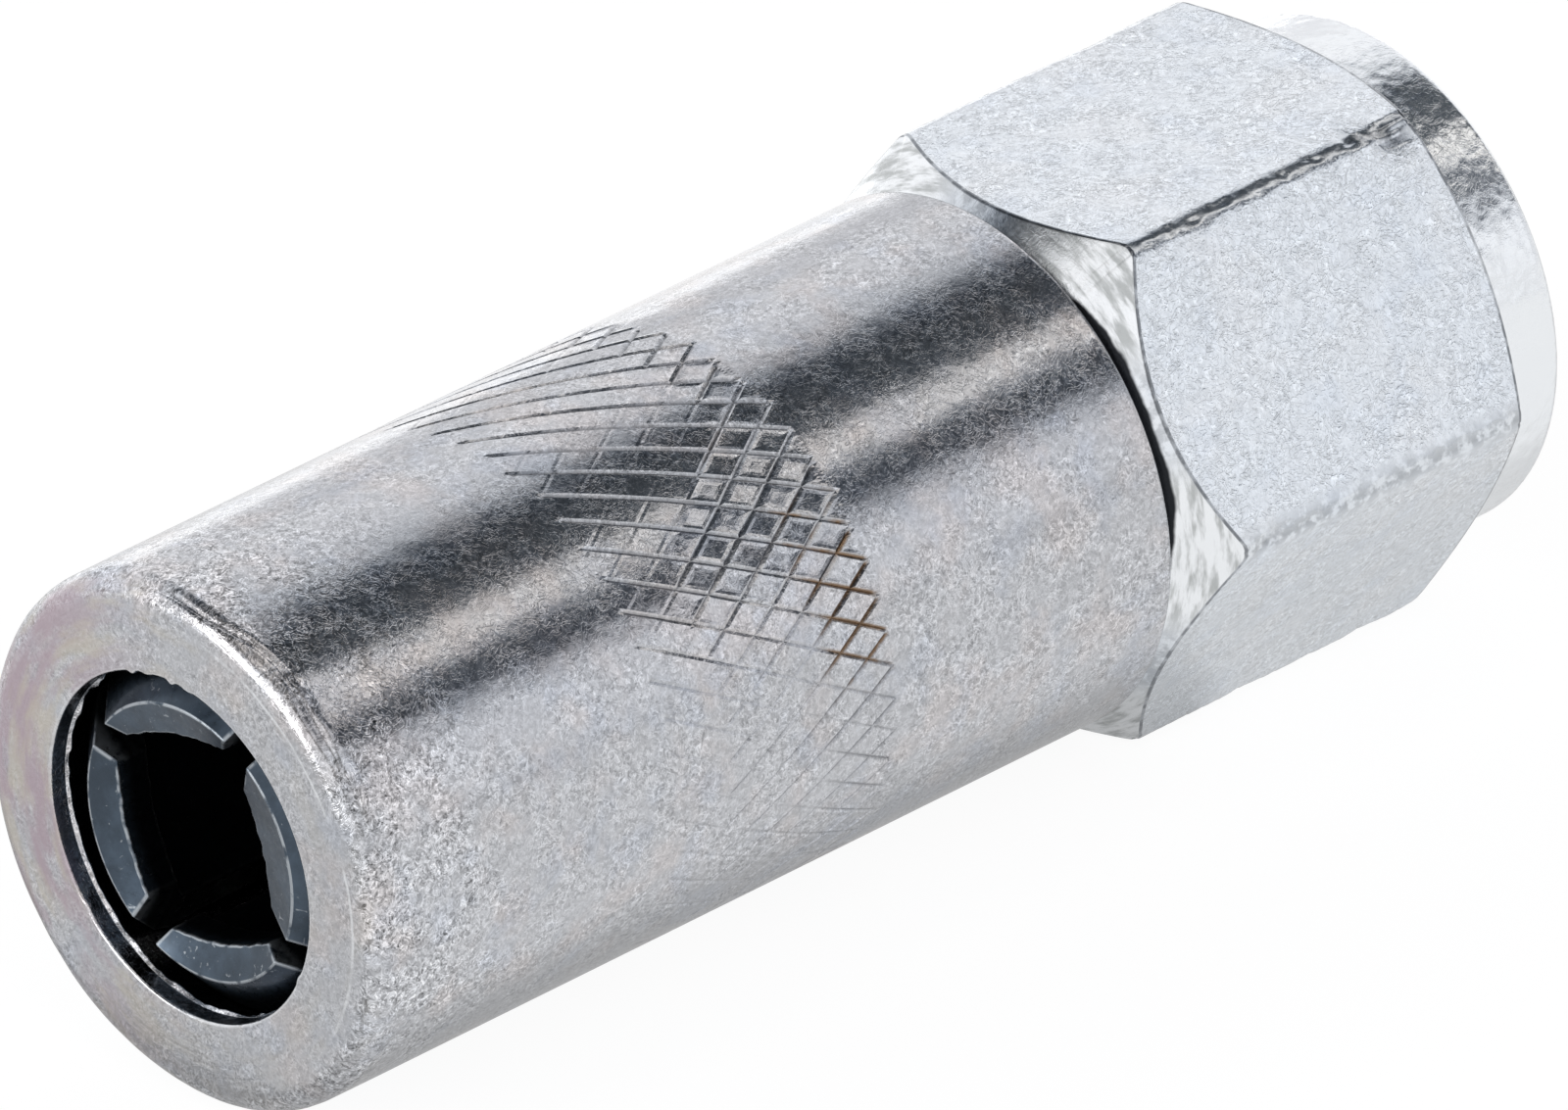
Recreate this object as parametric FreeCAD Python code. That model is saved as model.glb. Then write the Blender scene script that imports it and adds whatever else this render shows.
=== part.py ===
"""Four-jaw hydraulic grease coupler, in millimetres.

The axis is X. Stations are measured from the rear face (the hose or pipe end) towards
the nose, so a station s lies at x = -s. The coupler lies on its side with one spanner
flat facing down, and +Z points up.
"""
import FreeCAD, Part
import math
import os

from FreeCAD import Vector

# Outer form
sleeve_diameter = 15.0
sleeve_length = 28.2
flat_setback = 0.05
hex_length = 12.2
collar_diameter = 14.3
collar_length = 2.0
rim_gap = 0.2
hex_corner_radius = 0.3
hex_front_face_diameter = 14.1
hex_front_chamfer_angle = 45.0
hex_rear_chamfer_angle = 60.0
collar_edge_chamfer = 0.3

# Sleeve
sleeve_wall = 1.5
thread_wall = 1.0
mouth_diameter = 9.74
mouth_lip_depth = 0.6
mouth_cone_angle = 20.0
nose_edge_radius = 1.0
sleeve_rim_chamfer = 0.25
thread_lead_in = 0.3

# Threaded ends and passages of the hexagon body
spigot_length = 9.5
spigot_undercut_length = 1.0
spigot_undercut_depth = 0.45
inlet_tap_diameter = 9.0
inlet_depth = 8.5
inlet_countersink = 0.4
drill_point_angle = 118.0
passage_diameter = 3.0
passage_length = 2.6
piston_bore_diameter = 8.0

# Piston
piston_travel = 2.5
main_spring_length = 7.0
flange_thickness = 1.2
boss_length = 3.7
seal_recess_depth = 2.0
seal_rim_wall = 0.78
piston_hole_diameter = 2.0
piston_edge_chamfer = 0.2
o_ring_section = 1.16
o_ring_setback = 3.2
backup_ring_thickness = 0.6
backup_ring_chamfer = 0.1
groove_side_room = 0.12
o_ring_corner_share = 0.29

# Check valve inside the piston
ball_diameter = 3.0
seat_length = 1.9
seat_hole_diameter = 2.0
seat_cone_depth = 0.7
seat_shoulder = 0.7
valve_chamber_length = 4.9
check_wire = 0.3
check_spring_radius = 1.15
check_spring_turns = 4.5

# Main spring, washer and mouth seal
wire_sides = 8
main_wire = 0.9
main_spring_turns = 4.5
washer_thickness = 0.6
seal_proud = 0.7
seal_dish_depth = 0.5
seal_hole_diameter = 1.8

# Jaws
jaw_count = 4
jaw_slot = 0.9
jaw_turn = 73.3
jaw_tip_depth = 0.4
jaw_tip_diameter = 7.9
jaw_grip_diameter = 6.0
jaw_grip_start = 0.74
jaw_grip_length = 0.96
jaw_hook_height = 1.0
jaw_hook_slope = 0.4
jaw_bevel_angle = 45.0
jaw_head_depth = 2.3
jaw_head_slope = 1.2
jaw_waist = 0.55
jaw_heel_length = 1.7
ring_wire = 0.5
ring_wire_chamfer = 0.1
ring_split = 1.2
ring_offset = 0.03
ring_groove_width = 0.8
ring_groove_setback = 0.6
ring_groove_depth = 0.6

# Clearances
thread_clearance = 0.05
stem_clearance = 0.04
flange_clearance = 0.15
boss_clearance = 0.4
seal_clearance = 0.02
seat_clearance = 0.02
ball_clearance = 0.4
ball_seat_gap = 0.03
heel_clearance = 0.2
heel_gap = 0.05
cone_gap = 0.06
o_ring_room = 0.05
backup_room = 0.05
piston_end_gap = 0.2
spring_end_gap = 0.02

# Bar size of the hexagon: its flats lie just inside the sleeve's surface
across_flats = sleeve_diameter - 2 * flat_setback

# Stations along the axis
hex_face_at = collar_length + hex_length
rim_at = hex_face_at + rim_gap
nose_at = rim_at + sleeve_length
spigot_end_at = hex_face_at + spigot_length
drill_point_slope = math.tan(math.radians(drill_point_angle / 2))
drill_point_length = (inlet_tap_diameter - passage_diameter) / 2 / drill_point_slope
passage_at = inlet_depth + drill_point_length
bore_bottom_at = passage_at + passage_length
piston_rear_at = bore_bottom_at + piston_end_gap + piston_travel
flange_back_at = spigot_end_at + main_spring_length
flange_front_at = flange_back_at + flange_thickness
boss_end_at = flange_front_at + boss_length
seal_seat_at = boss_end_at - seal_recess_depth
washer_front_at = flange_front_at + washer_thickness
heel_at = washer_front_at + heel_gap
tip_at = nose_at - jaw_tip_depth

# Radii shared by pieces that fit together
sleeve_radius = sleeve_diameter / 2
bore_radius = sleeve_radius - sleeve_wall
thread_radius = sleeve_radius - thread_wall
spigot_radius = thread_radius - thread_clearance
stem_radius = piston_bore_diameter / 2 - stem_clearance
flange_radius = bore_radius - flange_clearance
grip_radius = jaw_grip_diameter / 2
hollow_radius = grip_radius + jaw_hook_height
boss_radius = hollow_radius - boss_clearance
heel_radius = bore_radius - heel_clearance
mouth_radius = mouth_diameter / 2
mouth_cone_slope = math.tan(math.radians(mouth_cone_angle))

# Check valve places
ball_radius = ball_diameter / 2
chamber_radius = ball_radius + ball_clearance
seat_radius = chamber_radius + seat_shoulder
seat_front_at = piston_rear_at + seat_length + piston_edge_chamfer
chamber_end_at = seat_front_at + valve_chamber_length
ball_contact = ball_radius / math.sqrt(2)
ball_contact_at = seat_front_at - seat_cone_depth + ball_contact - seat_hole_diameter / 2
ball_at = ball_contact_at + ball_contact + ball_seat_gap * math.sqrt(2)

# Piston seal places
groove_radius = stem_radius - o_ring_section - o_ring_room
o_ring_at = spigot_end_at - o_ring_setback
groove_start_at = o_ring_at - o_ring_section / 2 - groove_side_room
backup_start_at = o_ring_at + o_ring_section / 2 + groove_side_room
groove_end_at = backup_start_at + backup_ring_thickness + groove_side_room

# Retaining ring place
ring_groove_radius = heel_radius - ring_groove_depth
ring_radius = (ring_groove_radius + bore_radius) / 2 + ring_offset
ring_at = heel_at + ring_groove_setback + ring_groove_width / 2


def turned(*corners):
    """Solid of revolution about the axis from (station, radius) corners."""
    points = [Vector(-station, radius, 0) for station, radius in corners]
    outline = Part.makePolygon(points + points[:1])
    return Part.Face(outline).revolve(Vector(0, 0, 0), Vector(1, 0, 0), 360)


def rod(start, end, radius):
    """Plain cylinder between two stations."""
    return turned((start, 0), (start, radius), (end, radius), (end, 0))


def ring(start, end, inner, outer, chamfer):
    """Ring of rectangular section with all four edges chamfered."""
    return turned(
        (start, inner + chamfer),
        (start, outer - chamfer),
        (start + chamfer, outer),
        (end - chamfer, outer),
        (end, outer - chamfer),
        (end, inner + chamfer),
        (end - chamfer, inner),
        (start + chamfer, inner),
    )


def rims(solid, station, radius):
    """Circular edges of a solid at one station and radius."""
    found = []
    for edge in solid.Edges:
        curve = edge.Curve
        if not isinstance(curve, Part.Circle):
            continue
        if abs(curve.Radius - radius) < 1e-4 and abs(curve.Center.x + station) < 1e-4:
            found.append(edge)
    return found


def coil(start, end, mean_radius, wire, turns):
    """Helical spring of eight-sided wire with both ends ground flat at its end stations."""
    height = end - start
    helix = Part.makeHelix(height / turns, height, mean_radius)
    rise = math.atan2(height / turns, 2 * math.pi * mean_radius)
    upward = Vector(0, -math.sin(rise), math.cos(rise))
    outward = Vector(1, 0, 0)
    corners = []
    for index in range(wire_sides):
        angle = 2 * math.pi * (index + 0.5) / wire_sides
        across = outward * (wire / 2 * math.cos(angle))
        corners.append(Vector(mean_radius, 0, 0) + across + upward * (wire / 2 * math.sin(angle)))
    section = Part.makePolygon(corners + corners[:1])
    body = Part.Wire(helix.Edges).makePipeShell([section], True, True)
    body.rotate(Vector(0, 0, 0), Vector(0, 1, 0), -90)
    body.translate(Vector(-start, 0, 0))
    return body.common(rod(start, end, mean_radius + wire))


def make_sleeve():
    """Outer sleeve: threaded at the rear, with the closing cone inside its mouth."""
    cone_end = nose_at - mouth_lip_depth - (bore_radius - mouth_radius) / mouth_cone_slope
    sleeve = turned(
        (rim_at, thread_radius + thread_lead_in),
        (rim_at, sleeve_radius - sleeve_rim_chamfer),
        (rim_at + sleeve_rim_chamfer, sleeve_radius),
        (nose_at, sleeve_radius),
        (nose_at, mouth_radius),
        (nose_at - mouth_lip_depth, mouth_radius),
        (cone_end, bore_radius),
        (spigot_end_at, bore_radius),
        (spigot_end_at, thread_radius),
        (rim_at + thread_lead_in, thread_radius),
    )
    return sleeve.makeFillet(nose_edge_radius, rims(sleeve, nose_at, sleeve_radius))


def make_hexagon():
    """Hexagon bar with rounded corners, one flat up and one down."""
    corner_radius = across_flats / math.sqrt(3)
    corners = []
    for index in range(6):
        angle = math.radians(60 * index)
        corners.append(Vector(0, corner_radius * math.cos(angle), corner_radius * math.sin(angle)))
    bar = Part.Face(Part.makePolygon(corners + corners[:1])).extrude(Vector(-hex_face_at, 0, 0))
    long_edges = [edge for edge in bar.Edges if abs(edge.tangentAt(edge.FirstParameter).x) > 0.99]
    return bar.makeFillet(hex_corner_radius, long_edges)


def make_hex_body():
    """Hexagon body with the inlet thread, the spigot for the sleeve and the piston bore."""
    collar_radius = collar_diameter / 2
    face_radius = hex_front_face_diameter / 2
    blank_radius = across_flats / math.sqrt(3)
    rear_slope = (blank_radius - collar_radius) / math.tan(math.radians(hex_rear_chamfer_angle))
    front_slope = (blank_radius - face_radius) / math.tan(math.radians(hex_front_chamfer_angle))
    blank = turned(
        (collar_length, 0),
        (collar_length, collar_radius),
        (collar_length + rear_slope, blank_radius),
        (hex_face_at - front_slope, blank_radius),
        (hex_face_at, face_radius),
        (hex_face_at, 0),
    )
    spigot_root = spigot_radius - spigot_undercut_depth
    ends = turned(
        (0, 0),
        (0, collar_radius - collar_edge_chamfer),
        (collar_edge_chamfer, collar_radius),
        (collar_length, collar_radius),
        (collar_length, spigot_root),
        (hex_face_at + spigot_undercut_length, spigot_root),
        (hex_face_at + spigot_undercut_length + spigot_undercut_depth, spigot_radius),
        (spigot_end_at - thread_lead_in, spigot_radius),
        (spigot_end_at, spigot_radius - thread_lead_in),
        (spigot_end_at, 0),
    )
    tap_radius = inlet_tap_diameter / 2
    passage_radius = passage_diameter / 2
    inlet = turned(
        (0, 0),
        (0, tap_radius + inlet_countersink),
        (inlet_countersink, tap_radius),
        (inlet_depth, tap_radius),
        (passage_at, passage_radius),
        (bore_bottom_at, passage_radius),
        (bore_bottom_at, piston_bore_diameter / 2),
        (spigot_end_at, piston_bore_diameter / 2),
        (spigot_end_at, 0),
    )
    return blank.common(make_hexagon()).fuse(ends).removeSplitter().cut(inlet)


def make_piston():
    """Hollow piston: stem with seal groove, spring flange and boss for the mouth seal."""
    body = turned(
        (piston_rear_at, 0),
        (piston_rear_at, stem_radius - piston_edge_chamfer),
        (piston_rear_at + piston_edge_chamfer, stem_radius),
        (groove_start_at, stem_radius),
        (groove_start_at, groove_radius),
        (groove_end_at, groove_radius),
        (groove_end_at, stem_radius),
        (flange_back_at, stem_radius),
        (flange_back_at, flange_radius),
        (flange_front_at, flange_radius),
        (flange_front_at, boss_radius),
        (boss_end_at - piston_edge_chamfer, boss_radius),
        (boss_end_at, boss_radius - piston_edge_chamfer),
        (boss_end_at, 0),
    )
    hole = piston_hole_diameter / 2
    recess = boss_radius - seal_rim_wall
    inside = turned(
        (piston_rear_at, 0),
        (piston_rear_at, seat_radius),
        (seat_front_at, seat_radius),
        (seat_front_at, chamber_radius),
        (chamber_end_at, chamber_radius),
        (chamber_end_at, hole),
        (seal_seat_at, hole),
        (seal_seat_at, recess),
        (boss_end_at, recess),
        (boss_end_at, 0),
    )
    return body.cut(inside)


def make_valve_seat():
    """Pressed-in ring whose 45 degree cone the ball closes on."""
    outer = seat_radius - seat_clearance
    hole = seat_hole_diameter / 2
    return turned(
        (seat_front_at - seat_length, hole),
        (seat_front_at - seat_length, outer),
        (seat_front_at, outer),
        (seat_front_at, hole + seat_cone_depth),
        (seat_front_at - seat_cone_depth, hole),
    )


def make_check_ball():
    """Steel ball resting on the valve seat."""
    return Part.makeSphere(ball_radius, Vector(-ball_at, 0, 0))


def make_check_spring():
    """Small spring between the ball and the end of the valve chamber."""
    reach = ball_radius + check_wire / 2
    first_turn_at = ball_at + math.sqrt(reach ** 2 - check_spring_radius ** 2) + spring_end_gap
    return coil(first_turn_at, chamber_end_at, check_spring_radius, check_wire, check_spring_turns)


def make_o_ring():
    """Sealing ring in the groove of the piston stem, squeezed flat where it bears."""
    inner = stem_radius - o_ring_section
    half = o_ring_section / 2
    corner = o_ring_section * o_ring_corner_share
    return ring(o_ring_at - half, o_ring_at + half, inner, stem_radius, corner)


def make_backup_ring():
    """Flat ring on the low-pressure side of the sealing ring."""
    inner = groove_radius + backup_room
    end = backup_start_at + backup_ring_thickness
    return ring(backup_start_at, end, inner, stem_radius, backup_ring_chamfer)


def make_main_spring():
    """Spring that presses the piston flange towards the nose."""
    mean_radius = (stem_radius + bore_radius) / 2
    return coil(spigot_end_at, flange_back_at, mean_radius, main_wire, main_spring_turns)


def make_thrust_washer():
    """Hard washer that the heels of the jaws rock on."""
    inner = boss_radius + flange_clearance
    return turned(
        (flange_front_at, inner),
        (flange_front_at, flange_radius),
        (washer_front_at, flange_radius),
        (washer_front_at, inner),
    )


def make_nipple_seal():
    """Soft seal with a dished face that the tip of the grease nipple presses on."""
    outer = boss_radius - seal_rim_wall - seal_clearance
    hole = seal_hole_diameter / 2
    face_at = boss_end_at + seal_proud
    return turned(
        (seal_seat_at, hole),
        (seal_seat_at, outer),
        (face_at, outer),
        (face_at - seal_dish_depth, hole),
    )


def jaw_crown():
    """All jaws as one turned crown, before the slots part them."""
    tip_radius = jaw_tip_diameter / 2
    cone_start_radius = mouth_radius - cone_gap
    cone_start_at = nose_at - mouth_lip_depth
    bevel_slope = math.tan(math.radians(jaw_bevel_angle))
    bevel_rise = cone_start_radius - tip_radius - mouth_cone_slope * (tip_at - cone_start_at)
    bevel_depth = bevel_rise / (bevel_slope - mouth_cone_slope)
    bevel_end_at = tip_at - bevel_depth
    bevel_end_radius = tip_radius + bevel_slope * bevel_depth
    head_at = nose_at - jaw_head_depth
    head_radius = cone_start_radius + mouth_cone_slope * (cone_start_at - head_at)
    waist_radius = heel_radius - jaw_waist
    grip_front_at = nose_at - jaw_grip_start
    grip_back_at = grip_front_at - jaw_grip_length
    groove_front_at = heel_at + ring_groove_setback + ring_groove_width
    heel_front_at = heel_at + jaw_heel_length
    return turned(
        (tip_at, tip_radius),
        (bevel_end_at, bevel_end_radius),
        (head_at, head_radius),
        (head_at - jaw_head_slope, waist_radius),
        (heel_front_at + jaw_waist, waist_radius),
        (heel_front_at, heel_radius),
        (groove_front_at, heel_radius),
        (groove_front_at, ring_groove_radius),
        (heel_at + ring_groove_setback, ring_groove_radius),
        (heel_at + ring_groove_setback, heel_radius),
        (heel_at, heel_radius),
        (heel_at, hollow_radius),
        (grip_back_at - jaw_hook_slope, hollow_radius),
        (grip_back_at, grip_radius),
        (grip_front_at, grip_radius),
    )


def make_jaw(crown, index):
    """One jaw: the crown between two slots, turned to its own place."""
    half_angle = math.radians(180 / jaw_count)
    apex = jaw_slot / 2 / math.sin(half_angle)
    reach = bore_radius
    side = reach * math.tan(half_angle)
    outline = [Vector(0, apex, 0), Vector(0, apex + reach, side), Vector(0, apex + reach, -side)]
    wedge = Part.Face(Part.makePolygon(outline + outline[:1])).extrude(Vector(-nose_at, 0, 0))
    jaw = crown.common(wedge)
    jaw.rotate(Vector(0, 0, 0), Vector(1, 0, 0), jaw_turn + index * 360 / jaw_count)
    return jaw


def make_jaw_ring():
    """Split wire ring in the groove round the heels, holding the jaws together."""
    half = ring_wire / 2
    closed = ring(ring_at - half, ring_at + half, ring_radius - half, ring_radius + half, ring_wire_chamfer)
    corner = Vector(-ring_at - ring_wire, 0, -ring_split / 2)
    opening = Part.makeBox(2 * ring_wire, 2 * ring_radius, ring_split, corner)
    opening.rotate(Vector(0, 0, 0), Vector(1, 0, 0), jaw_turn + 180 / jaw_count)
    return closed.cut(opening)


def make_pieces():
    """Every piece of the coupler by name."""
    pieces = {
        "sleeve": make_sleeve(),
        "hex_body": make_hex_body(),
        "piston": make_piston(),
        "valve_seat": make_valve_seat(),
        "check_ball": make_check_ball(),
        "check_spring": make_check_spring(),
        "piston_o_ring": make_o_ring(),
        "piston_backup_ring": make_backup_ring(),
        "main_spring": make_main_spring(),
        "thrust_washer": make_thrust_washer(),
        "nipple_seal": make_nipple_seal(),
        "jaw_ring": make_jaw_ring(),
    }
    crown = jaw_crown()
    for index in range(jaw_count):
        pieces[f"jaw_{index + 1}"] = make_jaw(crown, index)
    return pieces


os.makedirs("parts", exist_ok=True)
for name, solid in make_pieces().items():
    solid.exportStep(f"parts/{name}.step")
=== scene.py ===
"""Grease coupler: shapes, finishes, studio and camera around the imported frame.

The axis is X. Stations are in millimetres from the rear face towards the nose, so a
station s lies at x = -s. Angles about the axis run from +Y towards +Z.
"""
import logging
import math
from collections.abc import Callable, Iterable, Sequence
from dataclasses import dataclass
from enum import Enum

import bpy
import numpy as np
from mathutils import Matrix, Vector, noise


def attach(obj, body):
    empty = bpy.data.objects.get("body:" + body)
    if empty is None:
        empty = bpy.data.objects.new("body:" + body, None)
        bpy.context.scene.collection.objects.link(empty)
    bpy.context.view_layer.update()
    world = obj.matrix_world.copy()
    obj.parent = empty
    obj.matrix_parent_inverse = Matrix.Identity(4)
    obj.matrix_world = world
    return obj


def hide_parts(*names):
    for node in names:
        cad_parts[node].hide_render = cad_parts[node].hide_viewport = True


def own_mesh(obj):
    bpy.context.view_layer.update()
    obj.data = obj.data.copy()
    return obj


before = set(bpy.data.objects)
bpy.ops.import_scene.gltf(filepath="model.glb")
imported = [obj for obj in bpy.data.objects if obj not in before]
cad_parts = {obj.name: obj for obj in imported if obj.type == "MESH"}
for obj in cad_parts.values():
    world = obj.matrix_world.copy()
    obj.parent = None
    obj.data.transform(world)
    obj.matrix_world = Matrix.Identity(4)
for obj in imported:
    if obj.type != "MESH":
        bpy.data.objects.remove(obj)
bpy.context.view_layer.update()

MM = 0.001
TURN = 2 * math.pi
# Distance to a hexagon's flat as a share of the distance to its corner.
FLAT_SHARE = math.cos(TURN / 12)
THREAD_PITCH = 1.0
THREAD_DEPTH = 0.54
COIL_STEPS = 56
WIRE_SIDES = 18
# Roundings below this radius carry the edge weight, which the finishes paint as edge light and shade: a
# painted highlight on the sleeve's edges, a painted highlight with rubbed oxide on the jaws', a painted
# dark reflection on the hexagon's.
PAINTED_EDGE_EASING = 0.2
# A rounding takes at most this share of the shorter side beside it.
SIDE_SHARE = 0.42
# Distance of the support points beside a rounding, and their most as a share of its reach.
SUPPORT = 0.05
SUPPORT_SHARE = 0.3
log = logging.getLogger("coupler")

Colour = tuple[float, float, float]
Stretch = tuple[float, float]
Rings = list[np.ndarray]
Inputs = dict[str, object]
SweepRule = Callable[[np.ndarray, float], np.ndarray]
WidenRule = Callable[[np.ndarray, np.ndarray], np.ndarray]


class Body(str, Enum):
    """Bodies of the frame, apart from the four jaws."""

    HOUSING = "housing"
    PISTON = "piston"
    CHECK_BALL = "check_ball"


class Slot(str, Enum):
    """Material slots of the record."""

    SLEEVE = "zinc_plate"
    HEXAGON = "zinc_plate_hex"
    MACHINED = "machined_steel"
    BALL = "ball_steel"
    WIRE = "spring_steel"
    RUBBER = "seal_rubber"
    PLASTIC = "backup_plastic"
    JAW = "jaw_steel"


class Field:
    """One value in a node tree. Arithmetic on it adds Math nodes."""

    def __init__(self, graph: "Graph", socket: bpy.types.NodeSocket) -> None:
        """Keep the tree and the socket that carries the value."""
        self.graph = graph
        self.socket = socket

    def __add__(self, other: "Field | float") -> "Field":
        """Sum."""
        return self.graph.math("ADD", self, other)

    def __sub__(self, other: "Field | float") -> "Field":
        """Difference."""
        return self.graph.math("SUBTRACT", self, other)

    def __rsub__(self, other: float) -> "Field":
        """Difference from a number."""
        return self.graph.math("SUBTRACT", other, self)

    def __mul__(self, other: "Field | float") -> "Field":
        """Product."""
        return self.graph.math("MULTIPLY", self, other)

    def __truediv__(self, other: "Field | float") -> "Field":
        """Quotient."""
        return self.graph.math("DIVIDE", self, other)

    def __abs__(self) -> "Field":
        """Size without the sign."""
        return self.graph.math("ABSOLUTE", self)

    __radd__ = __add__
    __rmul__ = __mul__


class Graph:
    """Short words for adding nodes to a shader or geometry tree."""

    def __init__(self, tree: bpy.types.NodeTree) -> None:
        """Start on a tree.

        Args:
            tree: The tree that gets the nodes.
        """
        self.tree = tree

    def add(self, kind: str, inputs: dict | None = None, **settings: object) -> bpy.types.Node:
        """Add one node.

        Args:
            kind: Blender's node type.
            inputs: Values, fields or sockets for its inputs, by name or index.
            **settings: Properties of the node itself.

        Returns:
            The new node.
        """
        node = self.tree.nodes.new(kind)
        for name, value in settings.items():
            setattr(node, name, value)
        for key, value in (inputs or {}).items():
            self.feed(node.inputs[key], value)
        return node

    def feed(self, socket: bpy.types.NodeSocket, value: object) -> None:
        """Give an input a value or a link.

        Args:
            socket: The input.
            value: A Field, an output socket or a plain value.
        """
        if isinstance(value, Field):
            self.tree.links.new(value.socket, socket)
        elif isinstance(value, bpy.types.NodeSocket):
            self.tree.links.new(value, socket)
        else:
            socket.default_value = value

    def value(self, kind: str, inputs: dict | None = None, output: int | str = 0,
              **settings: object) -> Field:
        """Add one node and take one of its outputs.

        Args:
            kind: Blender's node type.
            inputs: Values, fields or sockets for its inputs, by name or index.
            output: Name or index of the output.
            **settings: Properties of the node itself.

        Returns:
            The output as a field.
        """
        return Field(self, self.add(kind, inputs, **settings).outputs[output])

    def math(self, operation: str, *values: "Field | float") -> Field:
        """Add a Math node.

        Args:
            operation: Its operation.
            *values: Its operands.

        Returns:
            The result.
        """
        return self.value("ShaderNodeMath", dict(enumerate(values)), operation=operation)

    def ramp(self, value: Field, low: "Field | float", high: "Field | float",
             start: float = 0.0, end: float = 1.0) -> Field:
        """Smooth step of a value.

        Args:
            value: What is measured.
            low: Where the step begins.
            high: Where it ends.
            start: Result up to low.
            end: Result from high on.

        Returns:
            The step.
        """
        limits = {"Value": value, "From Min": low, "From Max": high, "To Min": start, "To Max": end}
        return self.value("ShaderNodeMapRange", limits, interpolation_type="SMOOTHSTEP")

    def noise(self, place: Field, scale: float, detail: float = 2.0, rough: float = 0.5,
              curl: float = 0.0) -> Field:
        """Noise value from 0 to 1.

        Args:
            place: Vector that it is read at.
            scale: Features per metre.
            detail: Octaves.
            rough: Share of the finer octaves.
            curl: How far the features are curled.

        Returns:
            The noise.
        """
        sizes = {"Vector": place, "Scale": scale, "Detail": detail, "Roughness": rough, "Distortion": curl}
        return self.value("ShaderNodeTexNoise", sizes)

    def patches(self, place: Field, scale: float, low: float, high: float, detail: float = 3.0,
                rough: float = 0.6) -> Field:
        """Irregular patches with soft edges, from 0 to 1.

        Args:
            place: Vector that they are read at.
            scale: Patches per metre.
            low: Noise value up to which there is no patch.
            high: Noise value from which a patch is full.
            detail: Octaves.
            rough: Share of the finer octaves.

        Returns:
            The patches.
        """
        return self.ramp(self.noise(place, scale, detail, rough), low, high)

    def cells(self, place: Field, scale: float) -> Field:
        """Distance to the nearest of scattered points.

        Args:
            place: Vector that it is read at.
            scale: Points per metre.

        Returns:
            The distance, in cells.
        """
        return self.value("ShaderNodeTexVoronoi", {"Vector": place, "Scale": scale})

    def split(self, vector: Field) -> tuple[Field, Field, Field]:
        """The three parts of a vector."""
        node = self.add("ShaderNodeSeparateXYZ", {0: vector})
        return tuple(Field(self, socket) for socket in node.outputs)

    def join(self, x: "Field | float", y: "Field | float", z: "Field | float") -> Field:
        """A vector of three parts."""
        return self.value("ShaderNodeCombineXYZ", {0: x, 1: y, 2: z})

    def radius(self, y: Field, z: Field) -> Field:
        """Distance from the axis."""
        return self.math("SQRT", y * y + z * z)

    def weight(self, name: str) -> Field:
        """A named weight that the mesh's points carry."""
        return self.value("ShaderNodeAttribute", output="Fac", attribute_name=name)

    def tint(self, share: "Field | float", first: object, second: object, mode: str = "MIX") -> Field:
        """Mix of two colours.

        Args:
            share: Share of the second.
            first: Colour or field.
            second: Colour or field.
            mode: Blend type.

        Returns:
            The colour.
        """
        colours = [c if isinstance(c, Field) else (*c, 1.0) for c in (first, second)]
        inputs = {0: share, 6: colours[0], 7: colours[1]}
        return self.value("ShaderNodeMix", inputs, 2, data_type="RGBA", blend_type=mode)

    def grey(self, value: Field) -> Field:
        """A colour of three equal parts."""
        return self.join(value, value, value)

    def bump(self, height: Field, depth: float, below: Field | None = None) -> Field:
        """Bumped normal.

        Args:
            height: Relief from 0 to 1.
            depth: Height in millimetres that 1 stands for.
            below: A normal that this one is laid on.

        Returns:
            The normal.
        """
        inputs = {"Height": height, "Distance": depth * MM, "Strength": 1.0}
        if below is not None:
            inputs["Normal"] = below
        return self.value("ShaderNodeBump", inputs)


@dataclass(frozen=True)
class Finish:
    """What every finish has: a name, a colour and a roughness.

    A subclass says in dress() how colour, roughness and relief vary over the surface.
    """

    name: str
    colour: Colour
    roughness: float

    def material(self) -> bpy.types.Material:
        """Build the node material.

        Returns:
            The material, made once for each name.
        """
        found = bpy.data.materials.get(self.name)
        if found:
            return found
        made = bpy.data.materials.new(self.name)
        made.use_nodes = True
        made.node_tree.nodes.clear()
        graph = Graph(made.node_tree)
        shader = graph.add("ShaderNodeBsdfPrincipled")
        place = graph.value("ShaderNodeTexCoord", output="Object")
        for name, value in self.dress(graph, place).items():
            graph.feed(shader.inputs[name], value)
        graph.add("ShaderNodeOutputMaterial", {"Surface": shader.outputs[0]})
        return made

    def dress(self, graph: Graph, place: Field) -> Inputs:
        """Make what goes into the Principled shader.

        Args:
            graph: The material's tree.
            place: Object coordinates in metres.

        Returns:
            Values for the shader's inputs.
        """
        raise NotImplementedError


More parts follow.
